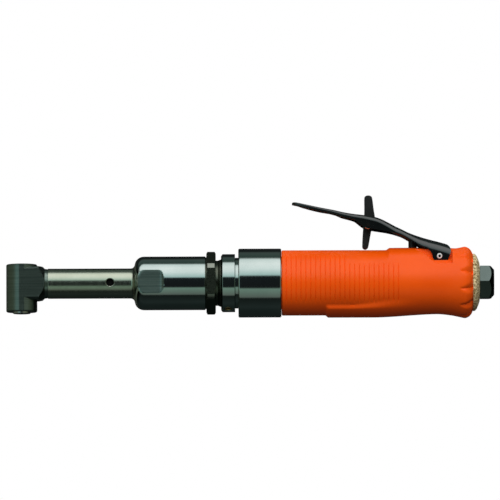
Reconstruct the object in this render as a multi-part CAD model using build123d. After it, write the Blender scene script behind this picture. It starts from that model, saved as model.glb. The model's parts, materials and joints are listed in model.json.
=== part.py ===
from build123d import *

import os
from math import acos, cos, hypot, pi, radians, sin, tan

# A right-angle pneumatic drill. The origin is the mouth of the spindle's thread: +Z runs up the
# spindle, +X runs back along the tool to the air inlet. All sizes are in millimetres.

# ---- Driving dimensions -------------------------------------------------------------------------
# Angle head
head_r = 8.45
head_half_width = 8.35
head_top = 10.5
head_bottom = 15.5
head_block_half_height = 9.1
head_cone_end_r = 8.1
head_cone_start_r = 11.4
head_cone_start = 9.3
head_length = 14.2
head_chamfer = 0.5
spindle_proud = 0.85
cap_r = 6.4
cap_thickness = 1.8
key_hole_r = 0.7
key_hole_offset = 3.6
key_hole_depth = 1.2

# Neck and gear case, one piece
neck_r = 8.2
neck_length = 47.0
neck_bore_r = 4.6
neck_hole_r = 2.1
neck_hole_depth = 2.6
neck_hole_from_flare = 13.1
neck_spigot_r = 6.5
neck_bush_width = 8.0
flare_fillet = 2.2
flare_shoulder = 5.0
flare_rise = 1.0
flare_length = 5.2
case_r = 14.6
case_length = 34.1
wrench_flat_half = 13.2
wrench_flat_length = 8.5
wrench_cutter_r = 2.93
hex_width = 5.1
hex_flats = 31.0
hex_chamfer = 1.0
hex_corner_r = 17.1
thread_length = 2.9
thread_front_r = 12.3
thread_back_r = 13.0

# Lock ring, motor housing and collar
ring_width = 7.6
ring_r = 15.8
ring_chamfer = 1.0
ring_hole_r = 2.0
ring_hole_depth = 2.6
ring_hole_count = 2
ring_hole_angle = 158.0
rim_width = 1.8
rim_r = 13.8
collar_width = 23.4
collar_r = 18.75
collar_wall = 3.2
collar_edge = 0.8

# Grip
grip_length = 104.1
grip_r = 17.75
waist_r = 17.3
grip_front_chamfer = 0.4
grip_bore_r = 14.35
grip_pad_rise = 1.25
grip_pad_start = 56.7
grip_pad_ramp = 2.2
grip_pad_half_angle = 60.0
grip_belly_start = 24.3
grip_belly_length = 40.0
grip_belly_half_angle = 52.0
grip_flare_r = 19.5
grip_flare_from_end = 4.3
grip_waist_from_end = 19.5
grip_end_r = 15.5
groove_count = 24
groove_pitch = 2.65
groove_start = 2.6
groove_width = 0.5
groove_depth = 0.35
scallop_count = 12
scallop_length = 7.3
scallop_r = 2.4
scallop_angle = 15.0

# Muffler and inlet
muffler_length = 3.9
muffler_r = 15.9
muffler_end_r = 12.2
inlet_length = 7.7
inlet_flats = 17.46
inlet_chamfer_length = 2.8
inlet_face_r = 6.9
inlet_shank_r = 8.0
inlet_shank_length = 13.4
inlet_thread_r = 5.6
inlet_thread_length = 11.0
inlet_bore_r = 4.4
screen_r = 5.2
screen_thickness = 0.8
screen_hole_r = 0.55
screen_rows = [(6, 1.9), (12, 3.7)]
muffler_bore_gap = 0.1

# Spindle and angle drive
spindle_nose_r = 4.75
spindle_thread_r = 2.75
spindle_thread_length = 10.0
spindle_journal_r = 4.0
spindle_shaft_r = 2.4
spindle_shaft_top = 8.0
lower_bearing_width = 4.4
upper_bush_bottom = 4.4
upper_bush_r = 5.6
chamber_r = 6.6
bevel_module = 0.6
bevel_pinion_teeth = 13
bevel_gear_teeth = 17
bevel_face = 2.2
bevel_addendum = 0.9
bevel_dedendum = 1.2
bevel_backlash = 0.08
gear_hub_depth = 1.7
gear_skirt = 1.0
gear_skirt_wall = 0.8
pinion_hub_step = 0.5
pinion_hub_r = 3.0
pinion_bay_r = 4.9
drive_stub_r = 1.5
drive_journal_r = 2.6
drive_shaft_r = 3.1
drive_shaft_start = 3.4
x_shaft_bearing = 8.0
shaft_bearing_r = 6.0
shaft_bearing_width = 3.5

# Planetary reduction
planet_module = 0.5
sun_teeth = 12
planet_teeth = 12
planet_count = 3
gear_addendum = 0.9
gear_dedendum = 1.2
gear_backlash = 0.08
pressure_angle = radians(25)
planet_width = 6.6
planet_pin_r = 1.2
gear_gap = 0.6
carrier_width = 6.0
carrier_rim = 1.4
carrier_bearing_r = 9.0
carrier_bearing_width = 6.0
carrier_journal_r = 4.0
carrier_journal_reach = 2.0
carrier_shoulder_r = 5.0
carrier_shoulder_width = 2.0
planet_pin_depth = 5.5
ring_gear_r = 10.8
spacer_wall = 1.4
reduction_start = 13.6

# Air motor
spigot_r = 12.6
spigot_reach = 5.8
plate_width = 6.0
front_bearing_r = 7.0
rear_bearing_r = 6.5
motor_bearing_width = 4.5
air_port_count = 3
air_port_r = 1.5
air_port_orbit = 9.6
air_port_angle = 40.0
cylinder_length = 38.0
cylinder_bore_r = 10.0
exhaust_slot_count = 4
exhaust_slot_width = 2.0
exhaust_slot_half_length = 2.5
rotor_offset = 1.05
rotor_r = 8.9
rotor_shaft_r = 3.0
rotor_stub_r = 1.4
vane_count = 5
vane_thickness = 1.5
vane_foot_r = 4.2
slot_foot_r = 4.0
backhead_wall = 4.0
backhead_chamber_r = 9.0
backhead_from_end = 2.5

# Throttle: lever, plunger and valve
hinge_from_grip_end = 18.1
hinge_height = 13.8
hinge_pin_r = 1.35
hinge_pin_bore_r = 0.7
lug_half_width = 5.5
lug_half_length = 3.4
lug_rise = 1.8
ear_drop = 3.5
pocket_clearance = 1.0
pocket_wall = 1.2
ear_half_gap = 6.9
lever_gauge = 1.8
plunger_from_hinge = 14.6
plunger_r = 2.3
plunger_top = 24.11
plunger_dome_r = 2.7
plunger_shoulder = 1.0
plunger_guide_depth = 8.7
stem_r = 1.5
poppet_r = 3.9
valve_bore_r = 4.6
seat_r = 2.9
seat_bottom = -1.0
seat_rise = 3.0
valve_gap = 0.1
seal_thickness = 0.5
poppet_thickness = 1.6
spring_wire_r = 0.4
spring_coil_r = 2.7
spring_turns = 6
valve_plug_top = -11.3
valve_plug_bottom = -13.5
air_passage_r = 2.2
inlet_passage_drop = 5.2
oring_r = 0.5
oring_depth = 3.0
plug_socket_half = 2.0
plug_socket_depth = 1.6

# Lock-off blade on the lever
lock_from_hinge = 38.8
lock_height = 31.0
lock_pin_r = 1.0
lock_half_thickness = 2.2
lock_hub_r = 2.5
lock_flange_half = 9.0
lock_spring_wire_r = 0.3
lock_spring_pitch = 0.8
lock_spring_length = 3.2
lock_spring_gap = 0.45
lock_slot_forward = 18.6
lock_slot_back = 4.6
foot_slot_depth = 2.4
foot_slot_front = 4.6
foot_slot_length = 19.0
foot_slot_half_width = 2.7

# Lever outline: (along the tool from the hinge, height from the tool's axis); the ears hang from
# the hinge. The plan is (along the tool from the hinge, half width).
lever_top = [
    (6.1, 15.8),
    (6.2, 17.5),
    (5.5, 19.2),
    (3.8, 20.8),
    (-4.9, 23.2),
    (-16.2, 26.8),
    (-25.5, 31.8),
    (-31.5, 34.8),
    (-36.0, 36.0),
    (-50.3, 38.3),
    (-72.2, 42.8),
    (-80.1, 43.3),
]
lever_edge = [
    (-76.0, 41.3),
    (-59.5, 37.4),
    (-47.4, 33.0),
    (-43.7, 30.6),
    (-36.6, 27.8),
    (-30.3, 26.8),
    (-22.0, 24.3),
    (-12.2, 20.5),
    (-9.3, 18.6),
    (-6.1, 17.6),
    (-3.7, hinge_height - 0.6),
    (-2.5, hinge_height - 2.6),
    (0.0, hinge_height - ear_drop),
    (3.2, hinge_height - ear_drop),
    (4.8, hinge_height - 1.6),
]
lever_plan = [(6.2, 8.7), (-28.0, 9.0), (-42.0, 9.0), (-76.0, 5.2), (-80.1, 2.6)]
lever_tip_start = -70.0
web_gauge = 1.944
web_rear_drop = 1.9
web_end = 3.4

# Clearances and small details shared by all pieces
static_fit = 0.02
running_fit = 0.05
open_gap = 0.3
edge_break = 0.2
ball_race_gap = 0.03
flank_steps = 4

# ---- Places along the tool, worked out from the sizes above -----------------------------------------
axis_height = head_bottom + spindle_proud
x_neck = head_length
x_flare = x_neck + neck_length
x_neck_hole = x_flare - neck_hole_from_flare
x_case = x_flare + flare_length
x_hex = x_case + case_length
x_thread = x_hex + hex_width
x_ring = x_thread + thread_length
x_rim = x_ring + ring_width
x_collar = x_rim + rim_width
x_collar_end = x_collar + collar_width
x_grip = x_collar_end + 0.1
x_grip_end = x_grip + grip_length
x_muffler_end = x_grip_end + muffler_length
x_inlet_end = x_muffler_end + inlet_length
x_body_end = x_grip_end - backhead_from_end
x_thread_bottom = x_inlet_end - inlet_thread_length

x_carrier_bearing = x_case + reduction_start
x_carrier = x_carrier_bearing + carrier_bearing_width + carrier_shoulder_width
x_planets = x_carrier + carrier_width + gear_gap
ring_gear_width = planet_width + 2 * gear_gap
x_spacer = x_carrier + carrier_width + ring_gear_width
x_front_plate = x_rim + spigot_reach + 0.1
x_cylinder = x_front_plate + plate_width
x_rear_plate = x_cylinder + cylinder_length
x_motor_end = x_rear_plate + plate_width
x_body = x_motor_end + backhead_wall

x_hinge = x_grip_end - hinge_from_grip_end
x_plunger = x_hinge - plunger_from_hinge
x_lock = x_hinge - lock_from_hinge

collar_bore_r = collar_r - collar_wall
body_r = grip_bore_r - running_fit
motor_bore_r = spigot_r + static_fit

# Frames. In TOOL the local Z is the tool's axis and the local X points up; HEAD is about the
# spindle with its height measured from the tool's axis.
TOOL = Plane(origin=(0, 0, axis_height), x_dir=(0, 0, 1), z_dir=(1, 0, 0))
HEAD = Plane(origin=(0, 0, axis_height), x_dir=(1, 0, 0), z_dir=(0, 0, 1))
SIDE = Plane(origin=(0, 0, axis_height), x_dir=(1, 0, 0), z_dir=(0, -1, 0))


# ---- Shared shapes ------------------------------------------------------------------------------------
def turned(*profile):
    """A solid turned about local Z from a closed profile of (radius, height) points."""
    outline = Polyline(*[(r, 0, s) for r, s in profile], close=True)
    return revolve(make_face(outline), Axis.Z)


def ring(inner, outer, start, end, edge=edge_break):
    """A ring or disc about local Z with broken outer edges."""
    return turned(
        (inner, start),
        (outer - edge, start),
        (outer, start + edge),
        (outer, end - edge),
        (outer - edge, end),
        (inner, end),
    )


def bar(radius, start, end):
    """A plain cylinder along local Z, used for bores and pins."""
    return Pos(0, 0, start) * Cylinder(radius, end - start, align=(Align.CENTER, Align.CENTER, Align.MIN))


def block(x0, x1, y0, y1, z0, z1):
    """A box between two corners."""
    return Pos((x0 + x1) / 2, (y0 + y1) / 2, (z0 + z1) / 2) * Box(x1 - x0, y1 - y0, z1 - z0)


def cross_bar(x, height, radius, half_length):
    """A pin or hole along Y at a place seen from the side, its height measured from the tool's axis."""
    return SIDE * Pos(x, height, -half_length) * bar(radius, 0, 2 * half_length)


def upright_bar(x, radius, low, high):
    """A pin or hole along Z, its heights measured from the tool's axis."""
    return HEAD * Pos(x, 0, 0) * bar(radius, low, high)


def around(count, solid, first=0.0):
    """Copies of a solid spread evenly about local Z."""
    return [Rot(0, 0, first + 360 * i / count) * solid for i in range(count)]


def ball_bearing(bore, outer, width, ball_r, ball_count):
    """Inner ring, outer ring and caged balls of a bearing that starts at local Z = 0."""
    pitch = (bore + outer) / 2
    land = 0.55 * ball_r
    race = Pos(0, 0, width / 2) * Torus(pitch, ball_r + ball_race_gap)
    inner = ring(bore, pitch - land, 0, width, edge_break / 2) - race
    outer_ring = ring(pitch + land, outer, 0, width, edge_break / 2) - race
    cage_r, cage_half = 0.3 * ball_r, 0.7 * ball_r
    cage = ring(pitch - cage_r, pitch + cage_r, width / 2 - cage_half, width / 2 + cage_half, 0.05)
    balls = around(ball_count, Pos(pitch, 0, width / 2) * Sphere(ball_r))
    return inner, outer_ring, cage + balls


# ---- Gear teeth ---------------------------------------------------------------------------------------
def involute(angle):
    """The involute function, in radians."""
    return tan(angle) - angle


def tooth_samples(teeth, pitch_r, inner, outer, thinning):
    """(radius, half angle) pairs up one flank of an involute tooth, from its root to its tip."""
    base = pitch_r * cos(pressure_angle)
    at_pitch = pi / (2 * teeth) + involute(pressure_angle) - thinning / pitch_r
    lowest = max(base, inner)
    radii = [lowest + (outer - lowest) * i / flank_steps for i in range(flank_steps + 1)]
    samples = [(r, at_pitch - involute(acos(min(1.0, base / r)))) for r in radii]
    if inner < base:
        samples.insert(0, (inner, samples[0][1]))
    return samples


def gear_outline(teeth, samples, first=0.0, angle_scale=1.0):
    """The closed outline of a toothed wheel as (radius, angle) points."""
    points = []
    for tooth in range(teeth):
        centre = first + 2 * pi * tooth / teeth
        points += [(r, centre - angle_scale * half) for r, half in samples]
        points += [(r, centre + angle_scale * half) for r, half in reversed(samples)]
    return points


def flat_face(points, height=0.0):
    """A face at one height on local Z from (radius, angle) points."""
    return make_face(Polyline(*[(r * cos(a), r * sin(a), height) for r, a in points], close=True))


def spur_gear(teeth, width, thinning, first=0.0):
    """A spur gear that starts at local Z = 0 with a tooth centred at the given angle."""
    pitch_r = teeth * planet_module / 2
    root, tip = pitch_r - gear_dedendum * planet_module, pitch_r + gear_addendum * planet_module
    samples = tooth_samples(teeth, pitch_r, root, tip, thinning)
    return extrude(flat_face(gear_outline(teeth, samples, first)), width)


def bevel_teeth(teeth, mate_teeth, reach):
    """Straight bevel teeth about local Z with the apex at the origin.

    The tooth is drawn on the developed back cone, wrapped round the axis, thrown from the apex on
    to one flat plane, and drawn down to the apex in straight lines.
    """
    pitch_r = teeth * bevel_module / 2
    cone_distance = hypot(pitch_r, mate_teeth * bevel_module / 2)
    sine = pitch_r / cone_distance
    cosine = mate_teeth * bevel_module / 2 / cone_distance
    developed_r = pitch_r / cosine
    samples = tooth_samples(
        teeth / cosine,
        developed_r,
        developed_r - bevel_dedendum * bevel_module,
        developed_r + bevel_addendum * bevel_module,
        bevel_backlash / 4,
    )
    plane_distance = cone_distance * cosine
    thrown = []
    for r, angle in gear_outline(teeth, [(r, half / cosine) for r, half in samples]):
        distance = cone_distance / cosine - r * sine
        thrown.append((r * cosine * plane_distance / distance, angle))
    scales = (1 - 1.3 * bevel_face / cone_distance, reach / plane_distance)
    sections = [flat_face([(r * k, a) for r, a in thrown], plane_distance * k) for k in scales]
    blank = bevel_blank(pitch_r, plane_distance, cone_distance, reach)
    return loft(sections, ruled=True) & blank


def bevel_blank(pitch_r, plane_distance, cone_distance, reach):
    """The turned blank of a bevel gear: the back cone behind its teeth, the face cone in front."""
    addendum = 1.3 * bevel_addendum * bevel_module
    inner_scale = 1 - bevel_face / cone_distance
    sine = pitch_r / cone_distance
    cosine = plane_distance / cone_distance
    back = (pitch_r + addendum * cosine, plane_distance - addendum * sine)
    front = (pitch_r * inner_scale + addendum * cosine, plane_distance * inner_scale - addendum * sine)
    run = reach - back[1]
    return turned(
        (0, plane_distance * inner_scale + 0.3),
        (pitch_r * inner_scale - 0.3, plane_distance * inner_scale + 0.2),
        front,
        back,
        (max(back[0] - run * cosine / sine, pitch_r - 1.1), reach),
        (0, reach),
    )


# ---- Angle head ---------------------------------------------------------------------------------------
pinion_pitch_r = bevel_pinion_teeth * bevel_module / 2
gear_pitch_r = bevel_gear_teeth * bevel_module / 2
gear_back = -(pinion_pitch_r + gear_hub_depth)
lower_bearing_top = gear_back - gear_skirt
lower_bearing_bottom = lower_bearing_top - lower_bearing_width
cap_floor = head_top - cap_thickness - edge_break
shaft_bearing_end = x_shaft_bearing + shaft_bearing_width


def make_angle_head():
    """Barrel with two flats, the block behind it and the cone that ends the block."""
    barrel = HEAD * ring(0, head_r, -head_bottom, head_top, head_chamfer)
    cone = TOOL * turned(
        (0, 0),
        (head_cone_start_r, 0),
        (head_cone_start_r, head_cone_start),
        (head_cone_end_r, head_cone_start + head_cone_start_r - head_cone_end_r),
        (head_cone_end_r - edge_break, head_length),
        (0, head_length),
    )
    low, high = axis_height - head_block_half_height, axis_height + head_block_half_height
    width = block(0, head_length, -head_half_width, head_half_width, low, high)
    flats = block(-head_r, head_length, -head_half_width, head_half_width, 0, axis_height + head_top)
    solid = (barrel + (cone & width)) & flats
    solid -= HEAD * bar(chamber_r, -head_bottom, upper_bush_bottom - open_gap)
    solid -= HEAD * bar(upper_bush_r, 0, cap_floor)
    solid -= HEAD * bar(cap_r, cap_floor, head_top)
    solid -= TOOL * bar(pinion_bay_r, 0, x_shaft_bearing)
    solid -= TOOL * bar(shaft_bearing_r, x_shaft_bearing, shaft_bearing_end + open_gap)
    return solid - TOOL * bar(neck_spigot_r, shaft_bearing_end + open_gap / 2, head_length)


def make_head_cap():
    """Screwed plug over the upper bush with two key holes."""
    plug = ring(0, cap_r - static_fit, cap_floor, cap_floor + cap_thickness)
    hole = bar(key_hole_r, cap_floor + cap_thickness - key_hole_depth, head_top)
    return HEAD * (plug - around(2, Pos(key_hole_offset, 0, 0) * hole))


def make_spindle():
    """Spindle with its threaded nose, bearing journal and upper shaft."""
    nose_bottom = -axis_height
    solid = turned(
        (spindle_thread_r, nose_bottom),
        (spindle_nose_r - edge_break, nose_bottom),
        (spindle_nose_r, nose_bottom + edge_break),
        (spindle_nose_r, lower_bearing_bottom),
        (spindle_journal_r, lower_bearing_bottom),
        (spindle_journal_r, gear_back),
        (spindle_shaft_r, gear_back),
        (spindle_shaft_r, spindle_shaft_top),
        (0, spindle_shaft_top),
        (0, nose_bottom + spindle_thread_length + 1.0),
        (spindle_thread_r, nose_bottom + spindle_thread_length),
    )
    return HEAD * solid


def make_bevel_gear():
    """Driven bevel gear, teeth up, with a skirt down on to the bearing's inner ring."""
    teeth = Rot(180, 0, 0) * bevel_teeth(bevel_gear_teeth, bevel_pinion_teeth, -gear_back)
    skirt = ring(0, spindle_journal_r + gear_skirt_wall, lower_bearing_top, gear_back + 0.1, 0.1)
    bores = bar(spindle_shaft_r + static_fit, gear_back, 0) + bar(
        spindle_journal_r + static_fit, lower_bearing_top, gear_back
    )
    return HEAD * (teeth + skirt - bores)


def make_bevel_pinion():
    """Driving bevel pinion with its hub against the bearing's inner ring."""
    end = gear_pitch_r + pinion_hub_step
    teeth = bevel_teeth(bevel_pinion_teeth, bevel_gear_teeth, end)
    hub = ring(0, pinion_hub_r, end - 0.1, x_shaft_bearing, 0.1)
    return TOOL * (teeth + hub - bar(drive_stub_r + static_fit, 0, x_shaft_bearing))


# ---- Neck, gear case and reduction ----------------------------------------------------------------------
def make_extension_housing():
    """Neck tube, flared shoulder, gear case, hexagon and rear spigot, turned from one bar."""
    path = FilletPolyline(
        (neck_r, 0, x_neck),
        (neck_r, 0, x_flare),
        (case_r, 0, x_flare + flare_rise),
        (case_r, 0, x_hex + hex_chamfer),
        radius=[flare_fillet, flare_shoulder],
    )
    rear = Polyline(
        path @ 1,
        (thread_front_r, 0, x_hex + hex_chamfer),
        (thread_front_r, 0, x_thread),
        (thread_back_r, 0, x_ring),
        (spigot_r, 0, x_ring),
        (spigot_r, 0, x_rim + spigot_reach),
        (ring_gear_r + static_fit, 0, x_rim + spigot_reach),
        (ring_gear_r + static_fit, 0, x_carrier - open_gap),
        (carrier_bearing_r, 0, x_carrier - open_gap),
        (carrier_bearing_r, 0, x_carrier_bearing),
        (neck_bore_r, 0, x_carrier_bearing),
        (neck_bore_r, 0, shaft_bearing_end + open_gap),
        (neck_spigot_r - static_fit, 0, shaft_bearing_end + open_gap),
        (neck_spigot_r - static_fit, 0, x_neck),
        path @ 0,
    )
    solid = revolve(make_face(path.edges() + rear.edges()), Axis.Z)
    hexagon = extrude(RegularPolygon(hex_flats / 2, 6, major_radius=False), hex_width)
    corners = ring(thread_front_r - 0.5, hex_corner_r, x_hex, x_thread, hex_chamfer)
    solid += Pos(0, 0, x_hex) * hexagon & corners
    solid = TOOL * solid
    flat_end = x_case + wrench_flat_length
    for side in (1, -1):
        inner, outer = sorted((side * wrench_flat_half, side * 2 * case_r))
        solid -= block(x_flare, flat_end, inner, outer, axis_height - case_r, axis_height + case_r)
        solid -= HEAD * Pos(flat_end, side * (wrench_flat_half + wrench_cutter_r), 0) * bar(
            wrench_cutter_r, -case_r, case_r
        )
    hole = bar(neck_hole_r, neck_r - neck_hole_depth, neck_r + 1)
    return solid - SIDE * Pos(x_neck_hole, 0, 0) * hole


planet_orbit_r = (sun_teeth + planet_teeth) * planet_module / 2
ring_teeth = sun_teeth + 2 * planet_teeth
carrier_disc_r = planet_orbit_r + planet_pin_r + carrier_rim


def make_drive_shaft():
    """Long shaft from the planet carrier to the bevel pinion."""
    return TOOL * turned(
        (0, drive_shaft_start),
        (drive_stub_r, drive_shaft_start),
        (drive_stub_r, x_shaft_bearing),
        (drive_journal_r, x_shaft_bearing),
        (drive_journal_r, shaft_bearing_end),
        (drive_shaft_r, shaft_bearing_end),
        (drive_shaft_r, x_carrier_bearing - carrier_journal_reach),
        (0, x_carrier_bearing - carrier_journal_reach),
    )


def make_planet_carrier():
    """Carrier: a bored journal that takes the drive shaft, and a disc with three pin holes."""
    solid = turned(
        (0, x_carrier_bearing - carrier_journal_reach),
        (carrier_journal_r, x_carrier_bearing - carrier_journal_reach),
        (carrier_journal_r, x_carrier_bearing + carrier_bearing_width),
        (carrier_shoulder_r, x_carrier_bearing + carrier_bearing_width),
        (carrier_shoulder_r, x_carrier),
        (carrier_disc_r, x_carrier),
        (carrier_disc_r, x_carrier + carrier_width),
        (0, x_carrier + carrier_width),
    )
    hole = bar(planet_pin_r + static_fit, x_carrier, x_spacer)
    return TOOL * (solid - around(planet_count, Pos(planet_orbit_r, 0, 0) * hole))


def make_planet_pins():
    """Pins of the planets, one in each hole of the carrier's disc."""
    start = x_carrier + carrier_width - planet_pin_depth
    pin = Pos(planet_orbit_r, 0, 0) * bar(planet_pin_r, start, x_planets + planet_width)
    return TOOL * Compound(around(planet_count, pin))


def make_planet_gear(index):
    """One planet, set so that a space faces the sun and a space faces the ring."""
    half_tooth = pi / planet_teeth
    gear = spur_gear(planet_teeth, planet_width, gear_backlash / 4, half_tooth) - bar(
        planet_pin_r + running_fit, 0, planet_width
    )
    return TOOL * Rot(0, 0, 360 * index / planet_count) * Pos(planet_orbit_r, 0, x_planets) * gear


def make_ring_gear():
    """Internal gear with a tooth at the top, in line with the first planet."""
    pitch_r = ring_teeth * planet_module / 2
    samples = tooth_samples(
        ring_teeth,
        pitch_r,
        pitch_r - gear_addendum * planet_module,
        pitch_r + gear_dedendum * planet_module,
        -gear_backlash / 4,
    )
    spaces = extrude(flat_face(gear_outline(ring_teeth, samples, pi / ring_teeth)), ring_gear_width)
    start = x_carrier + carrier_width
    return TOOL * (ring(0, ring_gear_r, start, x_spacer) - Pos(0, 0, start) * spaces)


# ---- Air motor ----------------------------------------------------------------------------------------
sun_width = planet_width + gear_gap


def make_rotor():
    """Slotted rotor with both shafts and the stub that carries the sun gear."""
    end_gap = running_fit
    solid = turned(
        (0, x_planets),
        (rotor_stub_r, x_planets),
        (rotor_stub_r, x_planets + sun_width),
        (rotor_shaft_r, x_planets + sun_width),
        (rotor_shaft_r, x_cylinder + end_gap),
        (rotor_r, x_cylinder + end_gap),
        (rotor_r, x_rear_plate - end_gap),
        (rotor_shaft_r, x_rear_plate - end_gap),
        (rotor_shaft_r, x_motor_end),
        (0, x_motor_end),
    )
    half = vane_thickness / 2 + running_fit
    slot = block(slot_foot_r, rotor_r + 1, -half, half, x_cylinder, x_rear_plate)
    return TOOL * (solid - around(vane_count, slot))


def make_vanes():
    """The vanes, each drawn back into its slot."""
    half = vane_thickness / 2
    vane = block(vane_foot_r, rotor_r - running_fit, -half, half, x_cylinder + 0.1, x_rear_plate - 0.1)
    return TOOL * Compound(around(vane_count, vane))


def make_sun_gear():
    """Sun gear on the rotor's stub, a tooth in line with each planet."""
    gear = spur_gear(sun_teeth, sun_width - static_fit, gear_backlash / 4) - bar(
        rotor_stub_r + static_fit, 0, sun_width
    )
    return TOOL * Pos(0, 0, x_planets) * gear


def make_motor_cylinder():
    """Motor cylinder with its eccentric bore and a row of exhaust slots."""
    solid = ring(0, spigot_r, x_cylinder, x_rear_plate)
    solid -= Pos(-rotor_offset, 0, 0) * bar(cylinder_bore_r, x_cylinder, x_rear_plate)
    half = exhaust_slot_half_length
    for k in range(exhaust_slot_count):
        start = x_cylinder + cylinder_length * (k + 1) / (exhaust_slot_count + 1) - exhaust_slot_width / 2
        solid -= block(-spigot_r - 1, -rotor_offset, -half, half, start, start + exhaust_slot_width)
    return TOOL * solid


def make_end_plate(start, bearing_r, bearing_from):
    """End plate with a bearing seat, a shaft hole and its air ports."""
    plate = ring(0, spigot_r, start, start + plate_width)
    plate -= bar(rotor_shaft_r + open_gap, start, start + plate_width)
    plate -= bar(bearing_r, bearing_from, bearing_from + motor_bearing_width)
    port = Pos(air_port_orbit, 0, 0) * bar(air_port_r, start, start + plate_width)
    return TOOL * (plate - around(air_port_count, port, air_port_angle))


def make_motor_housing():
    """Steel housing: front rim, seat of the collar and the thinner barrel inside the grip."""
    solid = turned(
        (motor_bore_r, x_rim),
        (rim_r - edge_break, x_rim),
        (rim_r, x_rim + edge_break),
        (rim_r, x_collar),
        (collar_bore_r - static_fit, x_collar),
        (collar_bore_r - static_fit, x_collar_end - 1),
        (body_r, x_collar_end - 1),
        (body_r, x_body),
        (motor_bore_r, x_body),
    )
    return TOOL * solid


def make_lock_ring():
    """Spanner ring with a chamfered front edge and holes round its rim."""
    solid = turned(
        (spigot_r + static_fit, x_ring),
        (ring_r - ring_chamfer, x_ring),
        (ring_r, x_ring + ring_chamfer),
        (ring_r, x_rim - edge_break),
        (ring_r - edge_break, x_rim),
        (spigot_r + static_fit, x_rim),
    )
    hole = Rot(0, 90, 0) * bar(ring_hole_r, ring_r - ring_hole_depth, ring_r + 1)
    hole = Pos(0, 0, (x_ring + x_rim) / 2) * hole
    return TOOL * (solid - around(ring_hole_count, hole, ring_hole_angle))


# ---- Lever pockets, shared by the valve body and the grip -------------------------------------------------
# Points are (along the tool from the hinge, height from the tool's axis), clear of the lever's travel.
pocket_floor = hinge_height - ear_drop - pocket_clearance
pocket_rear = 7.0
pocket_front = -16.5
pocket_outline = [
    (-2.1, pocket_floor),
    (pocket_rear, pocket_floor),
    (pocket_rear, 21.0),
    (pocket_front, 21.0),
    (-13.3, 17.5),
    (-8.5, 15.0),
]
pocket_inner = ear_half_gap - 0.25


def lever_pocket(side):
    """Recess in the grip's flank for the lever's ear, its front wall sloping up and forward."""
    outline = make_face(Polyline(*pocket_outline, close=True))
    cut = extrude(SIDE * Pos(x_hinge, 0) * outline, 2 * grip_r, both=True)
    inner, outer = sorted((side * pocket_inner, side * (grip_r + 4)))
    return cut & block(x_hinge - 30, x_hinge + 30, inner, outer, 0, axis_height + 30)


def pocket_liner(side, gap):
    """Block of the grip's own material under a pocket, drawn in by a gap to fit the valve body."""
    start = x_hinge + pocket_front + gap
    end = x_hinge + pocket_rear + pocket_wall - gap
    inner, outer = sorted((side * (lug_half_width + gap), side * (grip_bore_r + 1)))
    bottom = axis_height + pocket_floor - pocket_wall + gap
    return block(start, end, inner, outer, bottom, axis_height + grip_bore_r)


# ---- Valve body, throttle and inlet ---------------------------------------------------------------------
seat_top = body_r - plunger_guide_depth + seat_rise
poppet_top = seat_bottom - valve_gap - seal_thickness
poppet_bottom = poppet_top - poppet_thickness
oring_height = body_r - oring_depth
oring_orbit = plunger_r + running_fit + oring_r
x_shank = x_muffler_end - inlet_shank_length


def make_valve_body():
    """Backhead: motor spigot, valve bore, air passages, hinge lug and inlet seat."""
    solid = turned(
        (0, x_motor_end),
        (spigot_r, x_motor_end),
        (spigot_r, x_body),
        (body_r, x_body),
        (body_r, x_body_end),
        (0, x_body_end),
    )
    solid -= bar(backhead_chamber_r, x_motor_end, x_body + backhead_wall)
    solid = TOOL * solid
    for side in (1, -1):
        solid -= pocket_liner(side, 0)
    lug_top = axis_height + hinge_height + lug_rise
    front, rear = x_hinge - lug_half_length, x_hinge + lug_half_length
    solid += block(front, rear, -lug_half_width, lug_half_width, axis_height, lug_top)
    solid -= TOOL * bar(inlet_shank_r + static_fit, x_shank - 1, x_body_end)
    solid -= cross_bar(x_hinge, hinge_height, hinge_pin_r + static_fit, body_r)
    solid -= upright_bar(x_plunger, valve_bore_r, -body_r - 1, seat_top)
    solid -= upright_bar(x_plunger, plunger_r + running_fit, 0, body_r + 1)
    solid -= HEAD * Pos(x_plunger, 0, oring_height) * Torus(oring_orbit, oring_r + static_fit)
    solid -= TOOL * Pos((seat_top + seat_bottom) / 2, 0, 0) * bar(air_passage_r, x_body, x_plunger)
    return solid - TOOL * Pos(-inlet_passage_drop, 0, 0) * bar(air_passage_r, x_plunger, x_shank)


def make_plunger_seal():
    """Ring seal in the groove round the plunger."""
    return HEAD * Pos(x_plunger, 0, oring_height) * Torus(oring_orbit, oring_r)


def make_throttle_bushing():
    """Bronze seat bushing in the valve bore with a side port towards the motor."""
    solid = ring(seat_r, valve_bore_r - static_fit, seat_bottom, seat_top)
    port = Pos(0, 0, (seat_top + seat_bottom) / 2) * Rot(0, -90, 0) * bar(air_passage_r, 0, valve_bore_r)
    return HEAD * Pos(x_plunger, 0, 0) * (solid - port)


def make_plunger():
    """Throttle plunger: domed button, guided shank, stem and poppet in one."""
    shoulder = seat_top - plunger_shoulder
    dome_base = plunger_top - (plunger_dome_r - (plunger_dome_r**2 - plunger_r**2) ** 0.5)
    shank = bar(plunger_r, shoulder, dome_base) + bar(stem_r, poppet_top, shoulder)
    ball = Pos(0, 0, plunger_top - plunger_dome_r) * Sphere(plunger_dome_r)
    dome = ball & bar(plunger_r, dome_base, plunger_top)
    poppet = ring(0, poppet_r, poppet_bottom, poppet_top, 0.3)
    return HEAD * Pos(x_plunger, 0, 0) * (shank + dome + poppet)


def make_poppet_seal():
    """Flat seal on the poppet."""
    seal = ring(stem_r + static_fit, poppet_r - 0.3, poppet_top, poppet_top + seal_thickness)
    return HEAD * Pos(x_plunger, 0, 0) * seal


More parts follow.
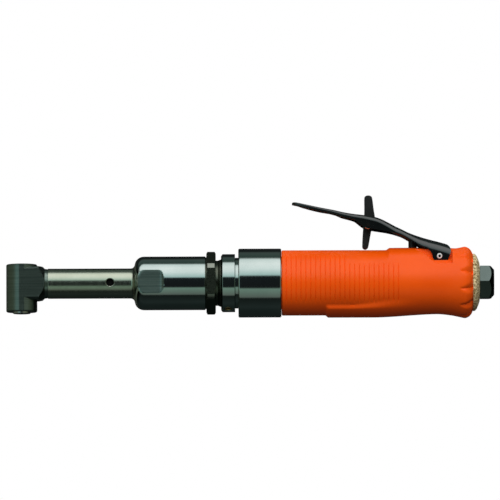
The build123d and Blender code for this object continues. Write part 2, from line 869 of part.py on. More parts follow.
def make_valve_spring():
    """Closed coil spring between the valve plug and the poppet."""
    low = valve_plug_top + spring_wire_r + static_fit
    high = poppet_bottom - spring_wire_r - static_fit
    coil = Helix(pitch=(high - low) / spring_turns, height=high - low, radius=spring_coil_r)
    section = Plane(coil @ 0, z_dir=coil % 0) * Circle(spring_wire_r)
    return HEAD * Pos(x_plunger, 0, low) * sweep(section, path=coil)


def make_valve_plug():
    """Screwed plug under the valve spring with a hexagon socket."""
    plug = ring(0, valve_bore_r - static_fit, valve_plug_bottom, valve_plug_top)
    socket = extrude(RegularPolygon(plug_socket_half, 6, major_radius=False), plug_socket_depth)
    return HEAD * Pos(x_plunger, 0, 0) * (plug - Pos(0, 0, valve_plug_bottom) * socket)


def make_inlet_bushing():
    """Inlet bushing: hexagon with chamfered rear corners and the shank into the valve body."""
    hexagon = extrude(RegularPolygon(inlet_flats / 2, 6, major_radius=False, rotation=30), inlet_length)
    corner_r = inlet_flats / 2 / cos(pi / 6)
    envelope = turned(
        (0, 0),
        (corner_r, 0),
        (corner_r, inlet_length - inlet_chamfer_length),
        (inlet_face_r, inlet_length),
        (0, inlet_length),
    )
    solid = Pos(0, 0, x_muffler_end) * (hexagon & envelope)
    solid += bar(inlet_shank_r, x_shank, x_muffler_end)
    solid -= bar(inlet_thread_r, x_thread_bottom, x_inlet_end)
    solid -= bar(screen_r, x_thread_bottom - screen_thickness, x_thread_bottom)
    return TOOL * (solid - bar(inlet_bore_r, x_shank, x_thread_bottom))


def make_inlet_screen():
    """Perforated disc at the bottom of the inlet thread."""
    start = x_thread_bottom - screen_thickness
    disc = bar(screen_r - static_fit, start, x_thread_bottom)
    hole = bar(screen_hole_r, start, x_thread_bottom)
    disc -= hole
    for count, orbit in screen_rows:
        disc -= around(count, Pos(orbit, 0, 0) * hole)
    return TOOL * disc


def make_muffler():
    """Sintered exhaust ring round the inlet shank, rounded towards the rear."""
    bore = inlet_shank_r + muffler_bore_gap
    profile = Polyline(
        (muffler_end_r, 0, x_muffler_end),
        (bore, 0, x_muffler_end),
        (bore, 0, x_grip_end + static_fit),
        (muffler_r, 0, x_grip_end + static_fit),
    )
    shoulder = TangentArc(
        profile @ 1, (muffler_end_r, 0, x_muffler_end), tangent=(-0.35, 0, 1)
    )
    return TOOL * revolve(make_face(profile.edges() + shoulder.edges()), Axis.Z)


# ---- Grip -----------------------------------------------------------------------------------------------
def make_grip():
    """Moulded sleeve: grooved barrel, raised pads, flared and scalloped rear, lever pockets."""
    chamfer = grip_front_chamfer
    profile = [(grip_bore_r, x_grip), (grip_r - chamfer, x_grip), (grip_r, x_grip + chamfer)]
    for i in range(groove_count):
        middle = x_grip + groove_start + i * groove_pitch
        profile += [
            (grip_r, middle - groove_width / 2),
            (grip_r - groove_depth, middle),
            (grip_r, middle + groove_width / 2),
        ]
    profile += [
        (waist_r, x_grip_end - grip_waist_from_end),
        (waist_r + 0.8, x_grip_end - 0.55 * grip_waist_from_end),
        (grip_flare_r - 0.3, x_grip_end - grip_flare_from_end - 2.4),
        (grip_flare_r, x_grip_end - grip_flare_from_end),
        (grip_flare_r - 0.7, x_grip_end - 0.5 * grip_flare_from_end),
        (grip_end_r + 1.4, x_grip_end - 0.4),
        (grip_end_r, x_grip_end),
        (grip_bore_r, x_grip_end),
    ]
    solid = turned(*profile)
    top_end = x_grip_end - 0.55 * grip_waist_from_end
    solid += grip_pad(x_grip + grip_pad_start, top_end, grip_pad_half_angle, 0)
    belly = x_grip + grip_belly_start
    solid += grip_pad(belly, belly + grip_belly_length, grip_belly_half_angle, 180)
    scallop = Pos(grip_flare_r + 0.3, 0, x_grip_end - scallop_length) * Cone(
        0.05, scallop_r, scallop_length + 1, align=(Align.CENTER, Align.CENTER, Align.MIN)
    )
    solid -= around(scallop_count, scallop, scallop_angle)
    solid = TOOL * solid
    sleeve = TOOL * bar(grip_bore_r + edge_break, x_grip, x_grip_end)
    for side in (1, -1):
        solid += pocket_liner(side, running_fit) & sleeve
        solid -= lever_pocket(side)
    lug_gap = lug_half_width + running_fit
    reach = lug_half_length + running_fit
    lug_top = axis_height + hinge_height + lug_rise + running_fit
    solid -= block(x_hinge - reach, x_hinge + reach, -lug_gap, lug_gap, axis_height, lug_top)
    solid -= cross_bar(x_hinge, hinge_height, hinge_pin_r + static_fit, grip_r)
    solid -= upright_bar(x_plunger, plunger_r + open_gap, 0, grip_r + 3)
    slot_start = x_lock - foot_slot_front
    slot_floor = axis_height + grip_r + 0.1 - foot_slot_depth
    return solid - block(
        slot_start,
        slot_start + foot_slot_length,
        -foot_slot_half_width,
        foot_slot_half_width,
        slot_floor,
        axis_height + grip_r + 5,
    )


def grip_pad(start, end, half_angle, centre):
    """A raised pad of the grip between two places along it, ramped at both ends."""
    rise = grip_r + grip_pad_rise
    profile = Polyline(
        (grip_bore_r + 0.5, 0, start),
        (grip_r - 0.1, 0, start),
        (rise, 0, start + grip_pad_ramp),
        (rise, 0, end - 4 * grip_pad_ramp),
        (waist_r - 0.1, 0, end),
        (grip_bore_r + 0.5, 0, end),
        close=True,
    )
    pad = revolve(make_face(profile), Axis.Z, 2 * half_angle)
    return Rot(0, 0, centre - half_angle) * pad


# ---- Lever and lock-off blade -----------------------------------------------------------------------------
def lever_outline_from_above(inset, rear):
    """The lever's plan, drawn in by an inset and run out to a place behind the hinge."""
    tip = [(x + inset * (x < lever_tip_start), w - inset) for x, w in lever_plan[1:]]
    half = [(rear, lever_plan[0][1] - inset)] + tip
    other = [(x, -w) for x, w in reversed(half)]
    return make_face(Polyline(*half, *other, close=True))


def lever_prism(outline, half_width):
    """A side outline, drawn out to both sides."""
    return extrude(SIDE * Pos(x_hinge, 0) * outline, amount=half_width, both=True)


def make_lever():
    """Pressed lever: a channel open downwards, its two ears on the hinge pin."""
    plan = extrude(Pos(x_hinge, 0) * lever_outline_from_above(0, 6.3), 100)
    inner_plan = extrude(Pos(x_hinge, 0) * lever_outline_from_above(lever_gauge, 20), 100)
    shell = lever_prism(make_face(Polyline(*lever_top, *lever_edge, close=True)), 12) & plan
    under = [(x, z - web_gauge) for x, z in lever_top if x < web_end]
    under = [(web_end, 50), (web_end, under[0][1] - web_rear_drop)] + under
    hollow = make_face(Polyline((20, 50), *under, (under[-1][0] - 10, 0), (20, 0), close=True))
    solid = shell - (lever_prism(hollow, 12) & inner_plan)
    solid -= block(
        x_lock - lock_slot_forward,
        x_lock + lock_slot_back,
        -lock_half_thickness - open_gap,
        lock_half_thickness + open_gap,
        axis_height + lock_height - 5,
        axis_height + lock_height + 20,
    )
    solid -= cross_bar(x_hinge, hinge_height, hinge_pin_r + running_fit, 12)
    return solid - cross_bar(x_lock, lock_height, lock_pin_r + static_fit, 12)


def make_lock_blade():
    """Lock-off blade: a thumb tab above the lever and a foot that stands over the grip."""
    head_arc = ThreePointArc((-2.0, 14.9), (0.2, 16.5), (2.4, 14.6))
    back = Polyline((2.4, 14.6), (3.7, 5.5), (2.5, 0), (2.0, -1.6), (0.2, -10.9))
    foot_arc = ThreePointArc((0.2, -10.9), (-1.7, -12.9), (-3.2, -10.9))
    front = Polyline((-3.2, -10.9), (-2.6, -1.6), (-2.5, 0), (-2.0, 14.9))
    outline = make_face(head_arc.edges() + back.edges() + foot_arc.edges() + front.edges())
    solid = extrude(SIDE * Pos(x_lock, lock_height) * outline, amount=lock_half_thickness, both=True)
    solid += cross_bar(x_lock, lock_height, lock_hub_r, lock_half_thickness)
    return solid - cross_bar(x_lock, lock_height, lock_pin_r + running_fit, 5)


def make_lock_spring():
    """Coil of the blade's torsion spring, round the lock pin beside the blade."""
    coil_r = lock_pin_r + lock_spring_wire_r + lock_spring_gap
    coil = Helix(pitch=lock_spring_pitch, height=lock_spring_length, radius=coil_r)
    section = Plane(coil @ 0, z_dir=coil % 0) * Circle(lock_spring_wire_r)
    start = lock_half_thickness + 2 * lock_spring_wire_r
    return SIDE * Pos(x_lock, lock_height, start) * sweep(section, path=coil)


# ---- Build ------------------------------------------------------------------------------------------------
# Place, bore, outside, width, ball radius and number of balls of each bearing.
bearings = {
    "spindle_bearing": (
        HEAD * Pos(0, 0, lower_bearing_bottom),
        spindle_journal_r,
        chamber_r,
        lower_bearing_width,
        0.8,
        14,
    ),
    "shaft_bearing": (
        TOOL * Pos(0, 0, x_shaft_bearing),
        drive_journal_r,
        shaft_bearing_r,
        shaft_bearing_width,
        0.9,
        10,
    ),
    "carrier_bearing": (
        TOOL * Pos(0, 0, x_carrier_bearing),
        carrier_journal_r,
        carrier_bearing_r,
        carrier_bearing_width,
        1.5,
        9,
    ),
    "front_motor_bearing": (
        TOOL * Pos(0, 0, x_front_plate),
        rotor_shaft_r,
        front_bearing_r,
        motor_bearing_width,
        1.2,
        9,
    ),
    "rear_motor_bearing": (
        TOOL * Pos(0, 0, x_motor_end - motor_bearing_width),
        rotor_shaft_r,
        rear_bearing_r,
        motor_bearing_width,
        1.1,
        9,
    ),
}

pieces = {
    "angle_head": make_angle_head(),
    "head_cap": make_head_cap(),
    "head_bush": HEAD
    * ring(spindle_shaft_r + running_fit, upper_bush_r - static_fit, upper_bush_bottom, cap_floor),
    "spindle_retainer": HEAD
    * ring(
        spindle_nose_r + running_fit,
        chamber_r - static_fit,
        -head_bottom,
        lower_bearing_bottom - static_fit,
    ),
    "spindle": make_spindle(),
    "bevel_gear": make_bevel_gear(),
    "bevel_pinion": make_bevel_pinion(),
    "drive_shaft": make_drive_shaft(),
    "extension_housing": make_extension_housing(),
    "neck_bush": TOOL
    * ring(
        drive_shaft_r + running_fit,
        neck_bore_r - static_fit,
        x_neck_hole - neck_bush_width / 2,
        x_neck_hole + neck_bush_width / 2,
    ),
    "planet_carrier": make_planet_carrier(),
    "planet_pins": make_planet_pins(),
    "ring_gear": make_ring_gear(),
    "gear_spacer": TOOL * ring(ring_gear_r - spacer_wall, ring_gear_r, x_spacer, x_front_plate),
    "lock_ring": make_lock_ring(),
    "motor_housing": make_motor_housing(),
    "front_collar": TOOL * ring(collar_bore_r, collar_r, x_collar, x_collar_end, collar_edge),
    "front_end_plate": make_end_plate(x_front_plate, front_bearing_r, x_front_plate),
    "motor_cylinder": make_motor_cylinder(),
    "rear_end_plate": make_end_plate(x_rear_plate, rear_bearing_r, x_motor_end - motor_bearing_width),
    "rotor": make_rotor(),
    "rotor_vanes": make_vanes(),
    "sun_gear": make_sun_gear(),
    "valve_body": make_valve_body(),
    "throttle_bushing": make_throttle_bushing(),
    "throttle_plunger": make_plunger(),
    "plunger_seal": make_plunger_seal(),
    "poppet_seal": make_poppet_seal(),
    "valve_spring": make_valve_spring(),
    "valve_plug": make_valve_plug(),
    "grip": make_grip(),
    "muffler": make_muffler(),
    "inlet_bushing": make_inlet_bushing(),
    "inlet_screen": make_inlet_screen(),
    "hinge_pin": cross_bar(x_hinge, hinge_height, hinge_pin_r, ear_half_gap + lever_gauge + edge_break)
    - cross_bar(x_hinge, hinge_height, hinge_pin_bore_r, 12),
    "throttle_lever": make_lever(),
    "lock_pin": cross_bar(x_lock, lock_height, lock_pin_r, lock_flange_half),
    "lock_spring": make_lock_spring(),
    "lock_blade": make_lock_blade(),
}
for index in range(planet_count):
    pieces[f"planet_gear_{index + 1}"] = make_planet_gear(index)
for name, (place, bore, outer, width, ball_r, ball_count) in bearings.items():
    fitted = (bore + static_fit, outer - static_fit)
    inner_ring, outer_ring, balls = ball_bearing(*fitted, width, ball_r, ball_count)
    pieces[f"{name}_inner"] = place * inner_ring
    pieces[f"{name}_outer"] = place * outer_ring
    pieces[f"{name}_balls"] = place * balls

os.makedirs("parts", exist_ok=True)
for node, solid in pieces.items():
    export_step(solid, f"parts/{node}.step")
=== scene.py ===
import json
import logging
import math
from dataclasses import dataclass, field
from enum import Enum

import bpy
import numpy as np
from mathutils import Matrix, Vector


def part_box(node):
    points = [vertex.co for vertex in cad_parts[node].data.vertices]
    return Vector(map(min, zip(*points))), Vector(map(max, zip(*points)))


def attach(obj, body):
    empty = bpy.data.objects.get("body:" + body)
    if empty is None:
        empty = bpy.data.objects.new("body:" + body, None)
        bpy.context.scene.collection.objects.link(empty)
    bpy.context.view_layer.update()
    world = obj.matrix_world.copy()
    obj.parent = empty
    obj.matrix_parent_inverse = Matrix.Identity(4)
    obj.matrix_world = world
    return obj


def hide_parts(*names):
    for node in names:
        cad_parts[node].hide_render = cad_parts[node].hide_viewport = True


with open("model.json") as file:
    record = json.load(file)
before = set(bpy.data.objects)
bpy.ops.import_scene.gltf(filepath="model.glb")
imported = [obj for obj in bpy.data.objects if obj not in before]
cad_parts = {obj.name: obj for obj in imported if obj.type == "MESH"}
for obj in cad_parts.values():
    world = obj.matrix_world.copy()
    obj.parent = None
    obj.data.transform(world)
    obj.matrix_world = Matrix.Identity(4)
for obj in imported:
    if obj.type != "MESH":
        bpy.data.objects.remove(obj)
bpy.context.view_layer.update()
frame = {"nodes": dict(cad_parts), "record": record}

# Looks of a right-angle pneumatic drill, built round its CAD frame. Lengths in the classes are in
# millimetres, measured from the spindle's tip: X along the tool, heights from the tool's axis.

log = logging.getLogger("drill")
MM = 0.001
HANDLE = "handle"


# ---- Places read from the frame -----------------------------------------------------------------------
@dataclass(frozen=True)
class Span:
    """Where a CAD node lies along the tool and how far it reaches round the axis, in millimetres."""

    start: float
    end: float
    radius: float

    @classmethod
    def of(cls, node: str) -> "Span":
        """Read a node's span from the frame.

        Args:
            node: Name of the CAD node.

        Returns:
            Its span, with the radius taken as half its width across the tool.
        """
        low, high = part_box(node)
        return cls(low.x / MM, high.x / MM, (high.y - low.y) / 2 / MM)


def axis_height() -> float:
    """Height of the tool's axis above the spindle's tip, in millimetres."""
    low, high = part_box("front_collar")
    return (low.z + high.z) / 2 / MM


AXIS = axis_height()


# ---- Mesh helpers ---------------------------------------------------------------------------------------
def smoothstep(value: np.ndarray, low: float, high: float) -> np.ndarray:
    """Smooth rise from 0 at low to 1 at high."""
    t = np.clip((value - low) / (high - low), 0.0, 1.0)
    return t * t * (3 - 2 * t)


def steps(*stops: tuple) -> np.ndarray:
    """Evenly divided stretches joined end to end.

    Args:
        stops: (place, step) pairs; each stretch runs to the next place with about that step.

    Returns:
        The sorted places, without repeats.
    """
    parts = []
    for (start, step), (end, _) in zip(stops[:-1], stops[1:]):
        count = max(1, int(round((end - start) / step)))
        parts.append(np.linspace(start, end, count + 1))
    return np.unique(np.round(np.concatenate(parts), 5))


def filleted(points: list, arc_steps: int = 6) -> np.ndarray:
    """A profile whose corners are rounded.

    Each corner of radius r is replaced by a circular arc tangent to both of its sides.

    Args:
        points: (place, radius, corner radius) for each corner, the ends included.
        arc_steps: Number of spans in each arc.

    Returns:
        An array of (place, radius) pairs.
    """
    corners = np.array([p[:2] for p in points], float)
    out = [corners[0]]
    for i in range(1, len(points) - 1):
        r = points[i][2]
        before, here, after = corners[i - 1 : i + 2]
        u, v = before - here, after - here
        u, v = u / np.linalg.norm(u), v / np.linalg.norm(v)
        half = math.acos(np.clip(u @ v, -1, 1)) / 2
        if r <= 0 or half > math.pi / 2 - 0.01:
            out.append(here)
            continue
        centre = here + (u + v) / np.linalg.norm(u + v) * r / math.sin(half)
        first, last = here + u * r / math.tan(half), here + v * r / math.tan(half)
        a0, a1 = (math.atan2(*(p - centre)[::-1]) for p in (first, last))
        sweep = (a1 - a0 + math.pi) % (2 * math.pi) - math.pi
        turn = a0 + sweep * np.linspace(0, 1, arc_steps + 1)
        out.extend(centre + r * np.stack([np.cos(turn), np.sin(turn)], -1))
    out.append(corners[-1])
    return np.array(out)


def divided(profile: np.ndarray, longest: float) -> np.ndarray:
    """The same profile with every stretch cut into pieces no longer than the given length."""
    out = [profile[:1]]
    for a, b in zip(profile[:-1], profile[1:]):
        count = max(1, int(math.ceil(np.linalg.norm(b - a) / longest)))
        out.append(a + (b - a) * np.linspace(0, 1, count + 1)[1:, None])
    return np.concatenate(out)


def make_mesh(name: str, points: np.ndarray, faces: list, sharp_degrees: float = 32.0) -> bpy.types.Object:
    """Put points and faces into a mesh object at the origin.

    Args:
        name: Name of the piece.
        points: Vertex places in metres, one row each.
        faces: Arrays of vertex numbers; each array holds faces with the same number of corners.
        sharp_degrees: Edges that turn more than this stay sharp.

    Returns:
        The new object, smooth shaded, its faces pointing outwards.
    """
    counts = np.concatenate([np.full(len(f), f.shape[1]) for f in faces])
    loops = np.concatenate([f.ravel() for f in faces])
    mesh = bpy.data.meshes.new(name)
    mesh.vertices.add(len(points))
    mesh.vertices.foreach_set("co", np.asarray(points, np.float32).ravel())
    mesh.loops.add(len(loops))
    mesh.loops.foreach_set("vertex_index", loops.astype(np.int32))
    mesh.polygons.add(len(counts))
    mesh.polygons.foreach_set("loop_start", (np.cumsum(counts) - counts).astype(np.int32))
    mesh.update(calc_edges=True)
    mesh.validate()
    mesh.shade_smooth()
    mesh.set_sharp_from_angle(angle=math.radians(sharp_degrees))
    piece = bpy.data.objects.new(name, mesh)
    bpy.context.scene.collection.objects.link(piece)
    return piece


def signed_volume(points: np.ndarray, quads: np.ndarray) -> float:
    """Volume enclosed by quads, negative where they point inwards."""
    a, b, c, d = (points[quads[:, k]] for k in range(4))
    return float(np.einsum("ij,ij->", a, np.cross(b, c)) + np.einsum("ij,ij->", a, np.cross(c, d)))


def grid_faces(rows: int, columns: int, close_rows: bool, close_columns: bool) -> np.ndarray:
    """Quads between neighbouring points of a grid, with either direction closed into a loop."""
    index = np.arange(rows * columns).reshape(rows, columns)
    if close_columns:
        index = np.hstack([index, index[:, :1]])
    if close_rows:
        index = np.vstack([index, index[:1]])
    return np.stack([index[:-1, :-1], index[:-1, 1:], index[1:, 1:], index[1:, :-1]], -1)


def surface(name: str, grid: np.ndarray, close_rows: bool = False, sharp: float = 32.0) -> bpy.types.Object:
    """A closed surface from a grid of points whose columns run round it.

    Args:
        name: Name of the piece.
        grid: Array of rows, columns and X, Y, Z in millimetres.
        close_rows: Join the last row to the first; otherwise both end rows are capped.
        sharp: Edges that turn more than this many degrees stay sharp.

    Returns:
        The new piece.
    """
    rows, columns = grid.shape[:2]
    points = grid.reshape(-1, 3) * MM
    quads = grid_faces(rows, columns, close_rows, True).reshape(-1, 4)
    flip = signed_volume(points, quads) < 0
    faces = [quads[:, ::-1] if flip else quads]
    if not close_rows:
        first = np.arange(columns)[None, :]
        last = first + (rows - 1) * columns
        faces.append(first if flip else first[:, ::-1])
        faces.append(last[:, ::-1] if flip else last)
    return make_mesh(name, points, faces, sharp)


def round_the_tool(x: np.ndarray, radius: np.ndarray, angle: np.ndarray) -> np.ndarray:
    """Points at a place along the tool, a distance from its axis and an angle from the top.

    The angle grows towards -Y: y = -radius sin(angle), z = axis + radius cos(angle).
    """
    x, radius, angle = np.broadcast_arrays(x, radius, angle)
    return np.stack([x, -radius * np.sin(angle), AXIS + radius * np.cos(angle)], -1)


def turned(
    name: str, profile: np.ndarray, angles: np.ndarray, shape=None, sharp: float = 32.0
) -> bpy.types.Object:
    """A ring turned from a closed profile, its radius then changed by a shape function.

    Args:
        name: Name of the piece.
        profile: (place, radius) pairs round the whole section, outside and bore.
        angles: Angles from the top, in radians.
        shape: Function of place, radius and angle that gives the new radius.
        sharp: Edges that turn more than this many degrees stay sharp.

    Returns:
        The new piece.
    """
    x, r, a = profile[:, :1], profile[:, 1:], angles[None, :]
    radius = np.broadcast_to(r, (len(r), len(angles))) if shape is None else shape(x, r, a)
    return surface(name, round_the_tool(x, radius, a), close_rows=True, sharp=sharp)


def angle_columns(fine: list, coarse_step: float = 2.0) -> np.ndarray:
    """Angles round the tool in radians, every coarse step plus extra ones.

    Args:
        fine: Extra angles in degrees from the top, given for both sides.
        coarse_step: Step between the plain angles, in degrees.

    Returns:
        The sorted angles from 0 to a full turn.
    """
    extra = np.concatenate([np.asarray(fine, float), -np.asarray(fine, float)]) % 360
    plain = np.arange(0, 360, coarse_step)
    gap = np.abs((plain[:, None] - extra[None, :] + 180) % 360 - 180).min(axis=1, initial=360.0)
    far = plain[gap > 0.25]
    return np.radians(np.unique(np.round(np.concatenate([extra, far]), 4)))


def turned_about(name: str, centre: tuple, axis: tuple, profile: list, count: int = 48) -> bpy.types.Object:
    """A small ring or pin turned about any axis.

    Args:
        name: Name of the piece.
        centre: A point of the axis, in millimetres.
        axis: The axis' direction.
        profile: (distance along the axis, radius, corner radius) round the closed section.
        count: Number of points round it.

    Returns:
        The new piece.
    """
    along = Vector(axis).normalized()
    across = along.orthogonal().normalized()
    other = along.cross(across)
    section = filleted(profile, 4)[:, :, None, None]
    turn = np.linspace(0, 2 * math.pi, count, endpoint=False)[None, :, None]
    spoke = np.cos(turn) * np.array(across) + np.sin(turn) * np.array(other)
    grid = np.array(centre) + section[:, 0] * np.array(along) + section[:, 1] * spoke
    return surface(name, grid, close_rows=True)


def place(piece: bpy.types.Object, body: str, slot: str, *nodes: str) -> bpy.types.Object:
    """Let a piece ride on a body and stand for CAD nodes."""
    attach(piece, body)
    if nodes:
        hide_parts(*nodes)
    log.info("%s: %d faces on %s", piece.name, len(piece.data.polygons), body)
    return piece


# ---- Finishes -------------------------------------------------------------------------------------------
class Grain(Enum):
    """Which way a finish's fine marks run."""

    TURNED = (1.0, 0.02, 0.02)
    ALONG = (0.03, 1.0, 1.0)
    LEVEL = (0.02, 0.02, 1.0)
    EVEN = (1.0, 1.0, 1.0)


class Shader:
    """A small helper round one material's nodes."""

    def __init__(self, name: str) -> None:
        """Start an empty material with a Principled shader."""
        self.material = bpy.data.materials.new(name)
        self.material.use_nodes = True
        self.nodes = self.material.node_tree.nodes
        self.links = self.material.node_tree.links
        self.body = self.nodes["Principled BSDF"]

    def add(self, kind: str, **values) -> bpy.types.Node:
        """Add a node and set its named inputs or properties.

        Args:
            kind: Node type without the ShaderNode prefix.
            values: Input values by socket name with underscores, or node properties.

        Returns:
            The node.
        """
        node = self.nodes.new("ShaderNode" + kind)
        for key, value in values.items():
            socket = node.inputs.get(key.replace("_", " "))
            if socket is not None:
                socket.default_value = value
            else:
                setattr(node, key, value)
        return node

    def link(self, source: bpy.types.NodeSocket, target: bpy.types.NodeSocket) -> None:
        """Join two sockets."""
        self.links.new(source, target)

    def coordinates(self, grain: Grain) -> bpy.types.NodeSocket:
        """Object coordinates stretched so that marks run with the grain."""
        mapping = self.add("Mapping", Scale=grain.value)
        self.link(self.add("TexCoord").outputs["Object"], mapping.inputs["Vector"])
        return mapping.outputs["Vector"]

    def noise(self, grain: Grain, per_metre: float, detail: float = 3.0) -> bpy.types.NodeSocket:
        """Noise with its marks along the grain."""
        node = self.add("TexNoise", Scale=per_metre, Detail=detail, Roughness=0.6)
        self.link(self.coordinates(grain), node.inputs["Vector"])
        return node.outputs["Fac"]

    def ramp(self, factor: bpy.types.NodeSocket, low: tuple, high: tuple, start: float, end: float):
        """Colour that runs from low to high as the factor goes from start to end."""
        node = self.add("ValToRGB")
        for element, colour, at in zip(node.color_ramp.elements, (low, high), (start, end)):
            element.color = (*colour, 1.0)
            element.position = at
        self.link(factor, node.inputs["Fac"])
        return node.outputs["Color"]

    def spread(self, factor: bpy.types.NodeSocket, low: float, high: float) -> bpy.types.NodeSocket:
        """The factor spread over a range of values."""
        node = self.add("MapRange", To_Min=low, To_Max=high, From_Min=0.3, From_Max=0.7)
        self.link(factor, node.inputs["Value"])
        return node.outputs["Result"]

    def bump(self, height: bpy.types.NodeSocket, distance: float, strength: float = 1.0, under=None):
        """A bump of the given depth in metres, over another normal if one is given."""
        node = self.add("Bump", Distance=distance, Strength=strength)
        self.link(height, node.inputs["Height"])
        if under is not None:
            self.link(under, node.inputs["Normal"])
        return node.outputs["Normal"]

    def set(self, **values) -> None:
        """Set plain values on the Principled shader."""
        for key, value in values.items():
            self.body.inputs[key.replace("_", " ")].default_value = value


@dataclass(frozen=True)
class Metal:
    """A bare, blackened or plated metal with fine tool marks."""

    name: str
    dark: tuple
    light: tuple
    roughness: tuple = (0.12, 0.2)
    grain: Grain = Grain.TURNED
    marks_per_metre: float = 2500.0
    mark_depth: float = 0.000002
    blotch_per_metre: float = 60.0
    blotch_grain: Grain = Grain.EVEN
    metallic: float = 1.0

    def build(self) -> bpy.types.Material:
        """Make the material: colour in soft blotches, roughness and bump from the tool marks."""
        shader = Shader(self.name)
        marks = shader.noise(self.grain, self.marks_per_metre)
        blotches = shader.noise(self.blotch_grain, self.blotch_per_metre)
        colour = shader.ramp(blotches, self.dark, self.light, 0.35, 0.65)
        shader.link(colour, shader.body.inputs["Base Color"])
        shader.link(shader.spread(marks, *self.roughness), shader.body.inputs["Roughness"])
        shader.link(shader.bump(marks, self.mark_depth), shader.body.inputs["Normal"])
        shader.set(Metallic=self.metallic)
        return shader.material


@dataclass(frozen=True)
class Plastic:
    """A moulded, painted or rubber surface with a fine even texture."""

    name: str
    dark: tuple
    light: tuple
    roughness: tuple = (0.4, 0.5)
    texture_per_metre: float = 2600.0
    texture_depth: float = 0.000012
    coat: float = 0.0
    coat_roughness: float = 0.1
    specular: float = 0.5

    def build(self) -> bpy.types.Material:
        """Make the material: slow colour variation, fine texture in bump and roughness."""
        shader = Shader(self.name)
        texture = shader.noise(Grain.EVEN, self.texture_per_metre, 2.0)
        clouds = shader.noise(Grain.EVEN, 45.0)
        shader.link(shader.ramp(clouds, self.dark, self.light, 0.3, 0.7), shader.body.inputs["Base Color"])
        shader.link(shader.spread(texture, *self.roughness), shader.body.inputs["Roughness"])
        shader.link(shader.bump(texture, self.texture_depth), shader.body.inputs["Normal"])
        shader.set(Coat_Weight=self.coat, Coat_Roughness=self.coat_roughness)
        shader.set(Specular_IOR_Level=self.specular)
        return shader.material


@dataclass(frozen=True)
class Sintered:
    """Metal granules fused together: one cell of a cell pattern for each granule."""

    name: str
    dark: tuple
    light: tuple
    grains_per_metre: float = 1500.0
    grain_depth: float = 0.00025

    def build(self) -> bpy.types.Material:
        """Make the material: each granule its own shade, domed by its distance from the centre."""
        shader = Shader(self.name)
        cells = shader.add("TexVoronoi", Scale=self.grains_per_metre)
        shader.link(shader.coordinates(Grain.EVEN), cells.inputs["Vector"])
        split = shader.add("SeparateColor")
        shader.link(cells.outputs["Color"], split.inputs["Color"])
        shader.link(
            shader.ramp(split.outputs["Red"], self.dark, self.light, 0.1, 0.9), shader.body.inputs["Base Color"]
        )
        dome = shader.add("Math", operation="MULTIPLY")
        dome.inputs[1].default_value = -1.0
        shader.link(cells.outputs["Distance"], dome.inputs[0])
        shader.link(shader.bump(dome.outputs[0], self.grain_depth), shader.body.inputs["Normal"])
        shader.set(Metallic=0.1, Roughness=0.45)
        return shader.material


FINISHES = {
    "black_oxide": Metal(
        "black_oxide", (0.16, 0.2, 0.175), (0.24, 0.29, 0.26), (0.27, 0.34), Grain.LEVEL, 1300.0,
        0.000006, 900.0, Grain.LEVEL,
    ),
    "hexagon_oxide": Metal(
        "hexagon_oxide", (0.1, 0.11, 0.085), (0.13, 0.14, 0.11), (0.26, 0.34), Grain.EVEN, 900.0
    ),
    # Painted highlight: the hexagon's rounded corners are coloured lighter than its flats, with a smoother
    # finish.
    "hexagon_corner_painted_highlight": Metal("hexagon_corner_painted_highlight", (0.2, 0.215, 0.185), (0.25, 0.265, 0.23), (0.12, 0.2)),
    "inlet_oxide": Metal(
        "inlet_oxide", (0.11, 0.14, 0.13), (0.13, 0.165, 0.155), (0.16, 0.22), Grain.EVEN, 900.0
    ),
    "pin_steel": Metal("pin_steel", (0.75, 0.75, 0.73), (0.85, 0.85, 0.83), (0.3, 0.4), metallic=0.35),
    "polished_steel": Metal("polished_steel", (0.43, 0.495, 0.475), (0.48, 0.54, 0.52), (0.07, 0.12)),
    "neck_steel": Metal("neck_steel", (0.43, 0.46, 0.37), (0.49, 0.52, 0.43), (0.2, 0.27)),
    "milled_steel": Metal(
        "milled_steel", (0.16, 0.215, 0.2), (0.25, 0.32, 0.295), (0.36, 0.42), Grain.LEVEL, 1500.0,
        0.000015, 1100.0, Grain.LEVEL,
    ),
    # Near-black matte painted shade: put on the floor of the neck's hole and on the lock pin in place of the
    # shade that falls there.
    "painted_shade_black": Plastic(
        "painted_shade_black", (0.004, 0.004, 0.004), (0.006, 0.006, 0.006), (0.7, 0.8), specular=0.1
    ),
    "orange_composite": Plastic(
        "orange_composite", (0.86, 0.085, 0.001), (0.93, 0.1, 0.002), (0.28, 0.36), specular=0.35
    ),
    "black_lever": Plastic(
        "black_lever", (0.002, 0.003, 0.003), (0.004, 0.005, 0.005), (0.1, 0.16), 1400.0, 0.000004,
        specular=1.0,
    ),
    "black_tab": Plastic(
        "black_tab", (0.005, 0.005, 0.005), (0.01, 0.01, 0.01), (0.35, 0.5), 1800.0, 0.00002, specular=0.35
    ),
    "sintered_bronze": Sintered("sintered_bronze", (0.28, 0.18, 0.06), (1.0, 0.84, 0.5)),
    "bright_steel": Metal("bright_steel", (0.6, 0.59, 0.57), (0.72, 0.71, 0.69), (0.15, 0.28)),
    "gear_steel": Metal("gear_steel", (0.4, 0.4, 0.39), (0.5, 0.5, 0.48), (0.25, 0.38), Grain.EVEN, 900.0),
    "bronze": Metal("bronze", (0.66, 0.42, 0.16), (0.76, 0.52, 0.24), (0.22, 0.34)),
    "aluminium": Metal("aluminium", (0.7, 0.7, 0.72), (0.8, 0.8, 0.81), (0.25, 0.36)),
    "seal_rubber": Plastic("seal_rubber", (0.01, 0.01, 0.01), (0.02, 0.02, 0.02), (0.55, 0.7)),
    "vane_composite": Plastic("vane_composite", (0.2, 0.11, 0.05), (0.3, 0.17, 0.08), (0.5, 0.6)),
}


# The lock pin takes the near-black painted shade.
NODE_LOOKS = {"inlet_bushing": "inlet_oxide", "throttle_plunger": "black_tab", "lock_pin": "painted_shade_black"}


